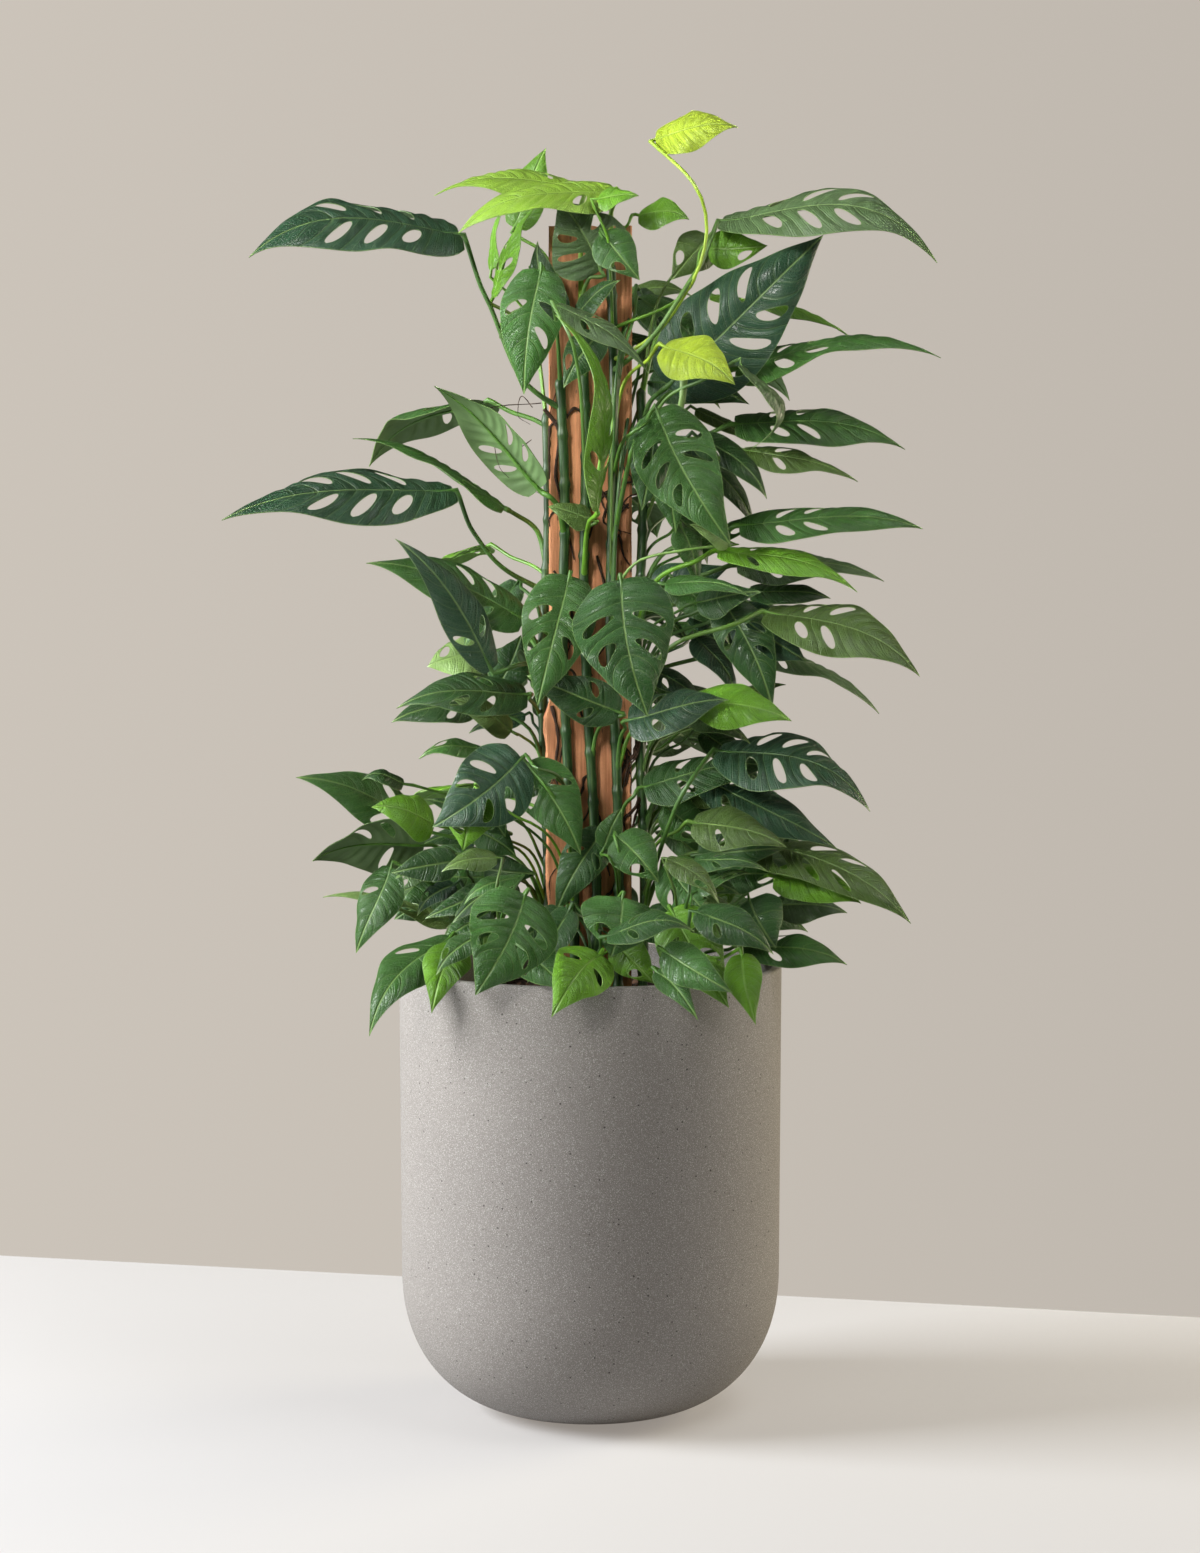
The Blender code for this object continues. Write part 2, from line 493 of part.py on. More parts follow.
def place_blades(leaves, crowd):
    """Blades in turn, each at the depth nearest its own where it clears those before it."""
    steps = sorted((k * DEPTH_STEP for k in range(-DEPTH_STEPS, DEPTH_STEPS + 1)), key=lambda v: (abs(v), v))
    blades = []
    for number, leaf in enumerate(leaves):
        best = None
        for shift in steps:
            blade = Blade(leaf, number, shift)
            count = clashes(blade.samples(), crowd.points, BLADE_ROOM)
            if best is None or count < best[0]:
                best = (count, blade)
            if count == 0:
                break
        blades.append(best[1])
        crowd.add(best[1].samples(), f"leaf {number}")
    return blades


def spline(points, count):
    """count + 1 points on a smooth curve through the given ones, evenly spaced by length."""
    points = np.asarray(points, float)
    ends = np.vstack([2 * points[0] - points[1], points, 2 * points[-1] - points[-2]])
    fine = []
    for i in range(len(points) - 1):
        a, b, c, d = ends[i : i + 4]
        u = np.linspace(0, 1, 16, endpoint=i == len(points) - 2)[:, None]
        fine.append(0.5 * (2 * b + (c - a) * u + (2 * a - 5 * b + 4 * c - d) * u**2
                           + (3 * b - 3 * c + d - a) * u**3))
    return even(np.vstack(fine), count)


def even(line, count):
    """count + 1 points along a line, evenly spaced by length."""
    length = np.concatenate([[0], np.cumsum(np.linalg.norm(np.diff(line, axis=0), axis=1))])
    at = np.linspace(0, length[-1], count + 1)
    return np.stack([np.interp(at, length, line[:, k]) for k in range(3)], -1)


def stalk_route(blade, drop, sway):
    """The stalk from the blade down to the stem, which it leaves upwards and outwards."""
    leaf = blade.leaf
    start = blade.base
    lowest = SOIL_LEVEL + STALK_LOWEST
    highest = STEMS[leaf.stem][4] * CM - STALK_HIGHEST
    away = np.linalg.norm(stem_axis(leaf.stem, start[2])[:2] - start[:2])
    height = start[2] - drop * (STALK_DROP + STALK_SLOPE * away)
    if leaf.route:
        height = leaf.route[-1][1] * CM - drop * STALK_DROP
    end = stem_axis(leaf.stem, np.clip(height, lowest, highest))
    if leaf.route:
        shares = np.linspace(0, 1, len(leaf.route) + 2)[1:-1]
        depths = (start[1] + (end[1] - start[1]) * shares + sway) / CM
        middle = [seen(x, z, y) for (x, z), y in zip(leaf.route, depths)]
        return [start, *middle, end]
    reach = end - start
    bow = BOW * np.linalg.norm(reach[:2])
    (out_1, rise_1), (out_2, rise_2) = NEAR_BLADE, NEAR_STEM
    near_blade = start + reach * (out_1, out_1, rise_1) + (0, sway, 0)
    near_stem = start + reach * (out_2, out_2, rise_2) + (0, sway, bow)
    return [start, near_blade, near_stem, end]


def stalk_line(blade, route):
    """The corners of a stalk: straight on from the midrib for a neck, then along the route to the stem."""
    neck = blade.base - NECK * blade.along
    return np.vstack([blade.base, neck, spline(route, STALK_PARTS[blade.size])[1:]])


def place_stalks(blades, crowd):
    """The stalk of each blade, by the first drop and sway that keep it clear of blades and other stems."""
    stalks = []
    for number, blade in enumerate(blades):
        stem = blade.leaf.stem
        taken = crowd.without({f"leaf {number}", stem, f"stalk {stem}"})
        own = crowd.points[crowd.owners == f"leaf {number}"]
        best = None
        for drop in DROPS:
            for sway in SWAYS:
                route = stalk_route(blade, drop, sway)
                line = even(stalk_line(blade, route), 40)
                count = clashes(line[:-2], taken, STALK_ROOM) + clashes(line[7:], own, STALK_ROOM)
                if best is None or count < best[0]:
                    best = (count, route, line)
                if best[0] == 0:
                    break
            if best[0] == 0:
                break
        stalks.append(best[1])
        crowd.add(best[2], f"stalk {stem}")
    return stalks


def mesh_object(name, points, faces):
    """An object of these points and faces."""
    mesh = bpy.data.meshes.new(name)
    mesh.from_pydata([tuple(p) for p in points], [], faces)
    mesh.update()
    found = bpy.data.objects.new(name, mesh)
    bpy.context.scene.collection.objects.link(found)
    return found


def tube_rings(path, radius, side, sides, first_turn=0.0):
    """Rings of points round a path, with the side vector carried along it without spin."""
    path = np.asarray(path)
    rings = []
    angles = first_turn + TAU * np.arange(sides) / sides
    for i, centre in enumerate(path):
        before = path[max(i - 1, 0)]
        after = path[min(i + 1, len(path) - 1)]
        tangent = unit(after - before)
        side = unit(side - side.dot(tangent) * tangent)
        other = np.cross(tangent, side)
        rings.append(centre + radius * (np.cos(angles)[:, None] * side + np.sin(angles)[:, None] * other))
    return rings


def blade_layout(size, holes):
    """Places (s, t) of one face of a blade and its triangles, with lens-shaped holes between the ribs."""
    ribs = RIBS[size]
    places = [(0.0, 0.10), (0.0, -0.10)]
    triangles = []
    midrib = []
    for middle, _ in ribs:
        midrib.append(len(places))
        places.append((middle, 0.0))
    tip = len(places)
    places.append((1.0, 0.0))
    triangles.append((0, midrib[0], 1))
    with_hole = set(HOLE_ORDER[size][:holes])
    for side in (1, -1):
        def face(*corners, side=side):
            triangles.append(corners if side < 0 else corners[::-1])

        root = 0 if side > 0 else 1
        edge = [len(places)]
        places.append((FIRST[size], side))
        for _, margin in ribs:
            edge.append(len(places))
            places.append((margin, side))
        face(root, midrib[0], edge[1])
        face(root, edge[1], edge[0])
        cells = [(midrib[i], edge[i + 1], edge[i + 2], midrib[i + 1], ribs[i], ribs[i + 1])
                 for i in range(len(ribs) - 1)]
        if LAST[size] is None:
            face(midrib[-1], tip, edge[-1])
        else:
            edge.append(len(places))
            places.append((LAST[size], side))
            if size == "small":
                cells.append((midrib[-1], edge[-2], edge[-1], tip, ribs[-1], (1.0, LAST[size])))
            else:
                face(midrib[-1], tip, edge[-1])
                face(midrib[-1], edge[-1], edge[-2])
        for k, (a, b, c, d, near, far) in enumerate(cells, start=1):
            if (side, k) not in with_hole:
                face(a, d, c)
                face(a, c, b)
                continue
            ring = []
            for u, v in ((0.5 - HOLE_ALONG, HOLE_MIDDLE), (0.5, HOLE_MIDDLE + HOLE_ACROSS),
                         (0.5 + HOLE_ALONG, HOLE_MIDDLE), (0.5, HOLE_MIDDLE - HOLE_ACROSS)):
                s = (1 - u) * (near[0] + (near[1] - near[0]) * v) + u * (far[0] + (far[1] - far[0]) * v)
                ring.append(len(places))
                places.append((s, v * side))
            e, f, g, h = ring
            for corners in ((b, a, e), (c, b, f), (d, c, g), (a, d, h)):
                face(*corners)
            for corners in ((b, e, f), (c, f, g), (d, g, h), (a, h, e)):
                face(*corners)
    return np.array(places), triangles


def leaf_object(blade, route):
    """A leaf as one closed mesh: both faces of the blade, the walls round it and its holes, and the stalk."""
    places, triangles = blade_layout(blade.size, blade.leaf.holes)
    s, t = places[:, 0], places[:, 1]
    middle = blade.points(s, t)
    radius = STALK_RADIUS[blade.size]
    middle[0] = blade.base + blade.side * radius
    middle[1] = blade.base - blade.side * radius
    lift = blade.normals(s, t) * BLADE_THICKNESS / 2
    if lift[2].dot(blade.up) < 0:
        lift = -lift
    count = len(places)
    points = [*(middle + lift), *(middle - lift)]
    (a, b, c) = triangles[0]
    if np.cross(middle[b] - middle[a], middle[c] - middle[a]).dot(lift[a]) < 0:
        triangles = [corners[::-1] for corners in triangles]
    faces = list(triangles)
    faces += [tuple(v + count for v in corners[::-1]) for corners in triangles]
    directed = {(corners[i], corners[(i + 1) % 3]) for corners in triangles for i in range(3)}
    for p, q in sorted(directed):
        if (q, p) in directed or {p, q} == {0, 1}:
            continue
        faces += [(q, p, p + count), (q, p + count, q + count)]
    line = stalk_line(blade, route)
    start = (0, 1) if (0, 1) in directed else (1, 0)
    ring = [start[1], start[0], start[0] + count, start[1] + count]
    side = unit(middle[start[1]] - middle[start[0]])
    rings = tube_rings(line, radius, side, 4, math.pi / 4)
    upright = np.cross(line[1] - line[0], side).dot(lift[0]) > 0
    for circle in rings[1:]:
        first = len(points)
        points += list(circle if upright else circle[::-1])
        fresh = [first, first + 1, first + 2, first + 3]
        for i in range(4):
            j = (i + 1) % 4
            faces += [(ring[i], ring[j], fresh[j]), (ring[i], fresh[j], fresh[i])]
        ring = fresh
    faces += [(ring[0], ring[1], ring[2]), (ring[0], ring[2], ring[3])]
    return mesh_object("leaf", points, faces)


def stem_angles():
    """The directions of a stem's corners, with one flat side to the front."""
    return TAU * (np.arange(STEM_SIDES) + 0.5) / STEM_SIDES - math.pi / 2


def stem_object(name):
    """A stem: a five-sided tube, straight in the soil and swaying above it, with a blunt end."""
    path = stem_corners(name)
    points = []
    faces = []
    angles = stem_angles()
    for i, centre in enumerate(path):
        radius = STEM_RADIUS * (STEM_TIP if i == len(path) - 1 else 1.0)
        points += [centre + radius * np.array([math.cos(a), math.sin(a), 0]) for a in angles]
    for i in range(len(path) - 1):
        for j in range(STEM_SIDES):
            a = i * STEM_SIDES + j
            b = i * STEM_SIDES + (j + 1) % STEM_SIDES
            faces.append((a, b, b + STEM_SIDES, a + STEM_SIDES))
    faces.append(tuple(range(STEM_SIDES))[::-1])
    last = (len(path) - 1) * STEM_SIDES
    faces.append(tuple(last + j for j in range(STEM_SIDES)))
    return mesh_object(name, points, faces)


def joined(body, cutters, operation, solver="EXACT"):
    """The body with the cutters joined to it or taken from it, and the cutters removed."""
    group = bpy.data.collections.new("cutters")
    bpy.context.scene.collection.children.link(group)
    for cutter in cutters:
        for holder in list(cutter.users_collection):
            holder.objects.unlink(cutter)
        group.objects.link(cutter)
    step = body.modifiers.new("join", "BOOLEAN")
    step.operation = operation
    step.operand_type = "COLLECTION"
    step.collection = group
    step.solver = solver
    bpy.context.view_layer.update()
    result = bpy.data.meshes.new_from_object(body.evaluated_get(bpy.context.evaluated_depsgraph_get()))
    body.modifiers.clear()
    old = body.data
    body.data = result
    bpy.data.meshes.remove(old)
    for cutter in list(group.objects):
        mesh = cutter.data
        bpy.data.objects.remove(cutter)
        bpy.data.meshes.remove(mesh)
    bpy.data.collections.remove(group)
    return body


def tidy(body):
    """Merges points that the join left on top of each other and splits faces into triangles."""
    mesh = bmesh.new()
    mesh.from_mesh(body.data)
    bmesh.ops.remove_doubles(mesh, verts=mesh.verts, dist=0.000001)
    bmesh.ops.dissolve_degenerate(mesh, edges=mesh.edges, dist=0.000001)
    bmesh.ops.triangulate(mesh, faces=mesh.faces)
    mesh.to_mesh(body.data)
    mesh.free()
    body.data.update()


def outer_radius(z):
    """The planter's outer radius at height z: a round bottom to the shoulder, then a slight flare."""
    if z >= SHOULDER_HEIGHT:
        share = (z - SHOULDER_HEIGHT) / (POT_HEIGHT - SHOULDER_HEIGHT)
        return SHOULDER_RADIUS + (RIM_RADIUS - SHOULDER_RADIUS) * share
    down = 1 - z / SHOULDER_HEIGHT
    return BASE_RADIUS + (SHOULDER_RADIUS - BASE_RADIUS) * math.sqrt(1 - down**BOWL_POWER)


def turned(name, profile):
    """A closed solid turned from a profile of radius and height that starts and ends on the axis."""
    mesh = bpy.data.meshes.new(name)
    last = len(profile) - 1
    mesh.from_pydata([(r, 0, z) for r, z in profile], [(i, i + 1) for i in range(last)], [])
    found = bpy.data.objects.new(name, mesh)
    bpy.context.scene.collection.objects.link(found)
    screw = found.modifiers.new("turn", "SCREW")
    screw.steps = POT_SIDES
    screw.render_steps = POT_SIDES
    screw.use_merge_vertices = True
    screw.merge_threshold = 0.0001
    return found


def planter():
    """The planter: outside up to the rim, over the lip and down inside."""
    lower = [(outer_radius(z), z) for z in BOWL_RINGS]
    rim = [(RIM_RADIUS, POT_HEIGHT - LIP_ROUND), (RIM_RADIUS - LIP_ROUND, POT_HEIGHT),
           (RIM_RADIUS - WALL + LIP_ROUND, POT_HEIGHT), (RIM_RADIUS - WALL, POT_HEIGHT - LIP_ROUND)]
    profile = [(0.0, 0.0), *lower, *rim, *inner_profile()]
    return turned("planter", profile[::-1])


def inner_profile():
    """The inside of the planter, from its shoulder down to the floor on the axis."""
    wall = [(outer_radius(z) - WALL, z) for z in INNER_RINGS]
    return [*wall, (BASE_RADIUS, FLOOR), (0.0, FLOOR)]


def soil():
    """The soil: it fills the planter to its level, is a little uneven and has a hole for each stem."""
    share = (SOIL_LEVEL - SHOULDER_HEIGHT) / (POT_HEIGHT - LIP_ROUND - SHOULDER_HEIGHT)
    shoulder = SHOULDER_RADIUS - WALL
    edge = shoulder + (RIM_RADIUS - WALL - shoulder) * share
    top = [(0.0, SOIL_LEVEL), *((r, SOIL_LEVEL) for r in SOIL_RINGS), (edge - GAP, SOIL_LEVEL)]
    below = [(max(r - GAP, 0.0), z + GAP) for r, z in inner_profile()]
    below[-2] = (BASE_RADIUS - GAP, FLOOR + GAP)
    body = turned("soil", top + below)
    bpy.context.view_layer.update()
    mesh = bpy.data.meshes.new_from_object(body.evaluated_get(bpy.context.evaluated_depsgraph_get()))
    body.modifiers.clear()
    body.data = mesh
    places = np.empty(len(mesh.vertices) * 3, np.float32)
    mesh.vertices.foreach_get("co", places)
    places = places.reshape(-1, 3)
    inside = (places[:, 2] > SOIL_LEVEL - 0.001) & (np.hypot(places[:, 0], places[:, 1]) < edge - 0.01)
    across, deep = (wave * places[:, k] for k, wave in enumerate(SOIL_WAVES))
    rise = np.sin(across + 1.0) * np.cos(deep) * SOIL_SWELL
    places[inside, 2] += rise[inside]
    mesh.vertices.foreach_set("co", places.ravel())
    cutters = [stem_hole(name) for name in STEMS]
    cutters.append(block("board_hole", BOARD_WIDTH + 2 * GAP, BOARD_THICKNESS + 2 * GAP,
                         BOARD_FOOT - GAP, SOIL_LEVEL + 0.05))
    body = joined(body, cutters, "DIFFERENCE")
    tidy(body)
    return body


def block(name, width, depth, low, high):
    """A box round the axis between two heights."""
    bpy.ops.mesh.primitive_cube_add(size=1)
    found = bpy.context.object
    found.name = name
    for vertex in found.data.vertices:
        x, y, z = vertex.co
        vertex.co = (x * width, y * depth, low if z < 0 else high)
    return found


def stem_hole(name):
    """A prism that clears the straight foot of a stem by GAP on every side."""
    x, y = STEMS[name][0] * CM, STEMS[name][1] * CM
    radius = STEM_RADIUS + GAP / math.cos(math.pi / STEM_SIDES)
    low = SOIL_LEVEL - STEM_DEPTH - GAP
    high = SOIL_LEVEL + 0.05
    bpy.ops.mesh.primitive_cylinder_add(vertices=STEM_SIDES, radius=radius, depth=high - low,
                                        location=(x, y, (low + high) / 2))
    found = bpy.context.object
    found.data.transform(found.matrix_world)
    found.matrix_world.identity()
    corners = [(x + radius * math.cos(a), y + radius * math.sin(a)) for a in stem_angles()]
    for vertex in found.data.vertices:
        near = min(corners, key=lambda c: (c[0] - vertex.co.x) ** 2 + (c[1] - vertex.co.y) ** 2)
        vertex.co.x, vertex.co.y = near
    return found


def board():
    """The rough board: an outline with a chewed left edge, as thick all over."""
    half = BOARD_WIDTH / 2
    outline_points = [
        (-half, BOARD_FOOT), (half, BOARD_FOOT), (half, BOARD_TOP - BOARD_SAG), (0.0, BOARD_TOP),
        (-half, BOARD_TOP - BOARD_SAG), *((-half - out, z) for z, out in CHEWED),
    ]
    curve = bpy.data.curves.new("board", "CURVE")
    curve.dimensions = "2D"
    curve.fill_mode = "BOTH"
    curve.extrude = BOARD_THICKNESS / 2
    line = curve.splines.new("POLY")
    line.points.add(len(outline_points) - 1)
    for point, (x, z) in zip(line.points, outline_points):
        point.co = (x, z, 0, 1)
    line.use_cyclic_u = True
    drawn = bpy.data.objects.new("board_curve", curve)
    bpy.context.scene.collection.objects.link(drawn)
    drawn.rotation_euler = (math.pi / 2, 0, 0)
    bpy.context.view_layer.update()
    mesh = bpy.data.meshes.new_from_object(drawn.evaluated_get(bpy.context.evaluated_depsgraph_get()))
    mesh.transform(drawn.matrix_world)
    bpy.data.objects.remove(drawn)
    found = bpy.data.objects.new("board", mesh)
    bpy.context.scene.collection.objects.link(found)
    work = bmesh.new()
    work.from_mesh(mesh)
    bmesh.ops.remove_doubles(work, verts=work.verts, dist=0.00005)
    bmesh.ops.recalc_face_normals(work, faces=work.faces)
    work.to_mesh(mesh)
    work.free()
    return found


def material(name, colour, roughness):
    """A plain material."""
    found = bpy.data.materials.new(name)
    found.use_nodes = True
    shader = found.node_tree.nodes["Principled BSDF"]
    shader.inputs["Base Color"].default_value = (*colour, 1.0)
    shader.inputs["Roughness"].default_value = roughness
    shader.inputs["Metallic"].default_value = 0.0
    return found


def plant():
    """The leafy stems: every leaf is placed first, then each stem is joined with its own leaves."""
    leaves = [*FRONT_LEAVES, *MIDDLE_LEAVES, *TOP_LEAVES, *LOWER_LEAVES, *back_leaves()]
    crowd = Crowd()
    crowd.add(fixtures(), "fixtures")
    for name in STEMS:
        heights = np.arange(SOIL_LEVEL, STEMS[name][4] * CM, 0.005)
        crowd.add(stem_axis(name, heights), name)
    blades = place_blades(leaves, crowd)
    stalks = place_stalks(blades, crowd)
    stems = []
    for name in STEMS:
        own = [leaf_object(blade, stalk) for blade, stalk in zip(blades, stalks) if blade.leaf.stem == name]
        stem = joined(stem_object(name), own, "UNION", "MANIFOLD")
        tidy(stem)
        stems.append(stem)
    return stems


def main():
    """Builds every piece into one collection, each with its material."""
    for item in list(bpy.data.objects):
        bpy.data.objects.remove(item)
    parts = bpy.data.collections.new("monstera_adansonii")
    bpy.context.scene.collection.children.link(parts)
    clay = material("clay", (0.55, 0.50, 0.46), 0.75)
    earth = material("earth", (0.05, 0.035, 0.025), 0.95)
    wood = material("wood", (0.30, 0.15, 0.09), 0.85)
    green = material("green", (0.07, 0.20, 0.05), 0.45)
    made = [(planter(), clay), (soil(), earth), (board(), wood)]
    made += [(stem, green) for stem in plant()]
    for item, look in made:
        item.data.materials.clear()
        item.data.materials.append(look)
        bpy.context.scene.collection.objects.unlink(item)
        parts.objects.link(item)


main()
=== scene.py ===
"""The looks of a Monstera adansonii with its stems on a rough board, in a tall round-bottomed planter.

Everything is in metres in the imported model's own frame: the origin is the middle of the planter's
flat base, +Z is up and the plant is seen from -Y. Each blade, stalk and stem here lies where the
model has its plain one, because the same table and the same rule give it its place, and the fine
pieces then stand for the plain ones. Finishes are procedural and follow the pieces' own surfaces.
"""

import logging
import math
from dataclasses import dataclass, field
from enum import Enum

import bpy
import numpy as np
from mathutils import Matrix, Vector


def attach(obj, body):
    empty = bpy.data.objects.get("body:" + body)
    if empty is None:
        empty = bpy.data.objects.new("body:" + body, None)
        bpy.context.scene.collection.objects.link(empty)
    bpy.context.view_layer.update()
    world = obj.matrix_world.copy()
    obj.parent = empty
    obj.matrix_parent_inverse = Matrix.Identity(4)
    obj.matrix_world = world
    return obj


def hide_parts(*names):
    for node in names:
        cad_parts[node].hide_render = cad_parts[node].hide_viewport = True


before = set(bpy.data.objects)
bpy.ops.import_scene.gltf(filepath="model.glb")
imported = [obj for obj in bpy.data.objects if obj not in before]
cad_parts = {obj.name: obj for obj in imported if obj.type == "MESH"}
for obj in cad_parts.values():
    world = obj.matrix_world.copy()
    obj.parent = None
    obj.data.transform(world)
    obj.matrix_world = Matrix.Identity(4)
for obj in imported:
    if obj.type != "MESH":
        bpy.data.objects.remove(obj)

Array = np.ndarray
Pair = tuple[float, float]
Triple = tuple[float, float, float]
Colour = Triple
Socket = bpy.types.NodeSocket
Node = bpy.types.Node
Tree = bpy.types.NodeTree
Material = bpy.types.Material
Piece = bpy.types.Object
LOG = logging.getLogger("monstera")
CM = 0.01
TAU = 2 * math.pi
SEED = 11

# The photograph's viewpoint: the eye, the point it looks at, the lens and its film's longer side in mm
EYE = np.array([0.009, -3.000, 0.775])
AIM = np.array([0.009, 0.000, 0.597])
LENS = 74.11
SENSOR = 36.0


class Facing(Enum):
    """The side that a blade turns its upper face to, as a direction."""

    FRONT = (0.0, -1.0, 0.15)
    FRONT_UP = (0.0, -0.75, 0.66)
    HIGH = (0.0, -0.50, 0.87)
    UP = (0.0, -0.22, 0.97)
    UNDER = (0.15, 0.60, 0.60)
    LEFT = (-0.92, -0.30, 0.25)
    RIGHT = (0.92, -0.30, 0.25)
    FRONT_LEFT = (-0.50, -0.84, 0.20)
    FRONT_RIGHT = (0.50, -0.84, 0.20)
    BACK = (0.0, 0.75, 0.66)
    BACK_LEFT = (-0.55, 0.60, 0.58)
    BACK_RIGHT = (0.55, 0.60, 0.58)


class Tone(Enum):
    """The green of a leaf by its age and by how it is lit, as linear red, green and blue."""

    # Painted light: the darker tones partly paint the shade a leaf lies in, and the lime tone partly paints
    # light shining through young leaves
    LIME = (0.400, 0.540, 0.035)
    YOUNG = (0.230, 0.400, 0.035)
    FRESH = (0.115, 0.285, 0.015)
    GREEN = (0.038, 0.118, 0.020)
    DEEP = (0.020, 0.068, 0.014)
    BLUE = (0.017, 0.054, 0.026)
    OLIVE = (0.064, 0.118, 0.022)
    GREY = (0.070, 0.125, 0.046)
    PALE = (0.190, 0.310, 0.085)


# The facings and tones by their bare names, for the table of leaves
FRONT, FRONT_UP, HIGH, UP, UNDER, LEFT, RIGHT, FRONT_LEFT, FRONT_RIGHT, BACK, BACK_LEFT, BACK_RIGHT = Facing
LIME, YOUNG, FRESH, GREEN, DEEP, BLUE, OLIVE, GREY, PALE = Tone


class Size(Enum):
    """The three sizes of leaf, which differ in their number of ribs."""

    LARGE = "large"
    MEDIUM = "medium"
    SMALL = "small"


@dataclass(frozen=True)
class StemPlan:
    """Where a stem leaves the soil, where its top is, and how high that is, in centimetres."""

    foot: Pair
    head: Pair
    top: float


@dataclass(frozen=True)
class Leaf:
    """A leaf as it is seen: x and z on the plane y = 0, and the y that its ends lie at, in centimetres."""

    stem: str
    base: Pair
    tip: Pair
    depth: Pair
    width: float
    facing: Facing
    tone: Tone
    holes: int = 0
    arch: float = 0.08
    twist: float = 0.0
    route: tuple[Pair, ...] = ()


@dataclass(frozen=True)
class Thicket:
    """A part of the foliage that a rule fills with small leaves, in centimetres: its stem and its box."""

    stem: str
    count: int
    across: Pair
    heights: Pair
    depths: Pair
    outward: float = 0.0
    reach: Pair = (4.5, 8.5)
    # The angle above the level that a leaf points at, in radians, and how it arches
    falls: Pair = (-1.1, 0.4)
    arches: Pair = (0.06, 0.2)
    # Its width, and how much nearer its tip lies, as shares of its reach
    widths: Pair = (0.40, 0.54)
    nearer: float = 0.15
    most_holes: int = 2
    # Mostly dark tones, which paint the shade deep inside the foliage
    tones: tuple[Tone, ...] = (DEEP, DEEP, DEEP, GREEN, GREEN, BLUE, OLIVE)

    def leaves(self, rng: np.random.Generator) -> list[Leaf]:
        """Its leaves: each starts at random in the box, and its tip is a random reach outward and down.

        Args:
            rng: the random draw.

        Returns:
            The leaves, with 0 to 2 holes each and mostly dark, as painted shade deep inside the foliage.
        """
        made = []
        for _ in range(self.count):
            x, z, depth = (rng.uniform(*span) for span in (self.across, self.heights, self.depths))
            side = self.outward or rng.choice((-1.0, 1.0))
            reach = rng.uniform(*self.reach)
            fall = rng.uniform(*self.falls)
            tip = (x + side * reach * math.cos(fall), z + reach * math.sin(fall))
            width = reach * rng.uniform(*self.widths)
            facings = (FRONT_UP, HIGH, HIGH, FRONT_RIGHT if side > 0 else FRONT_LEFT)
            facing = facings[rng.integers(len(facings))]
            tone = self.tones[rng.integers(len(self.tones))]
            holes = int(rng.integers(0, self.most_holes + 1))
            ends = (depth, depth - self.nearer * reach)
            arch = rng.uniform(*self.arches)
            made.append(Leaf(self.stem, (x, z), tip, ends, width, facing, tone, holes, arch))
        return made


BOARD_THICKNESS = 0.024
STEM_RADIUS = 0.0046
GAP = 0.0003
# The lanes of the stems on the board's faces, in centimetres from its middle
FRONT_LANE = -100 * (BOARD_THICKNESS / 2 + STEM_RADIUS + GAP)
BACK_LANE = -FRONT_LANE

FL, FM, FR = "stem_front_left", "stem_front_middle", "stem_front_right"
SL, SR, BL, BR = "stem_left", "stem_right", "stem_back_left", "stem_back_right"
HF, HL, HR = "shoot_front", "shoot_front_left", "shoot_front_right"
HSL, HSR, HB = "shoot_side_left", "shoot_side_right", "shoot_back"

# Where the plant is too thick to tell its leaves apart
THICKETS = (
    Thicket(FR, 8, (2.5, 7), (96, 106), (0.5, 5), 1.0, (6.5, 10.0)),
    Thicket(SR, 11, (6, 11), (77, 96), (0, 5), 1.0, (5.5, 9.5)),
    Thicket(SR, 10, (6, 13), (57, 77), (-1, 5), 1.0),
    Thicket(BR, 12, (3.6, 8), (54, 94), (2.5, 6), 1.0),
    Thicket(HSR, 6, (9, 16), (44, 55), (-2, 4), 1.0),
    Thicket(HR, 7, (5, 11), (43, 53), (-8, -3), 1.0),
    Thicket(SL, 7, (-11, -6), (62, 78), (-1, 4), -1.0),
    Thicket(HSL, 10, (-15, -8), (44, 55), (-3, 5), -1.0),
    Thicket(HL, 8, (-12, -6), (43, 53), (-9, -4), -1.0),
    Thicket(HF, 6, (-5, 6), (42, 48), (-11, -6)),
)

STEMS = {
    FL: StemPlan((-1.5, FRONT_LANE), (-2.8, FRONT_LANE), 97.0),
    FM: StemPlan((0.6, FRONT_LANE), (-0.9, FRONT_LANE), 104.0),
    FR: StemPlan((2.6, FRONT_LANE), (1.9, FRONT_LANE), 107.5),
    SL: StemPlan((-4.3, BACK_LANE), (-4.1, BACK_LANE), 94.0),
    SR: StemPlan((4.9, -0.4), (4.7, -0.6), 96.0),
    BL: StemPlan((-2.2, BACK_LANE), (-2.4, BACK_LANE), 102.0),
    BR: StemPlan((2.4, BACK_LANE), (2.2, BACK_LANE), 99.0),
    HF: StemPlan((0.4, -8.0), (0.6, -9.0), 46.5),
    HL: StemPlan((-8.0, -5.5), (-8.4, -6.6), 46.5),
    HR: StemPlan((8.2, -5.5), (8.8, -6.6), 46.0),
    HSL: StemPlan((-9.6, 3.0), (-10.4, 3.0), 48.0),
    HSR: StemPlan((9.6, 3.4), (10.6, 3.4), 47.5),
    HB: StemPlan((0.6, 8.6), (0.8, 9.6), 47.0),
}

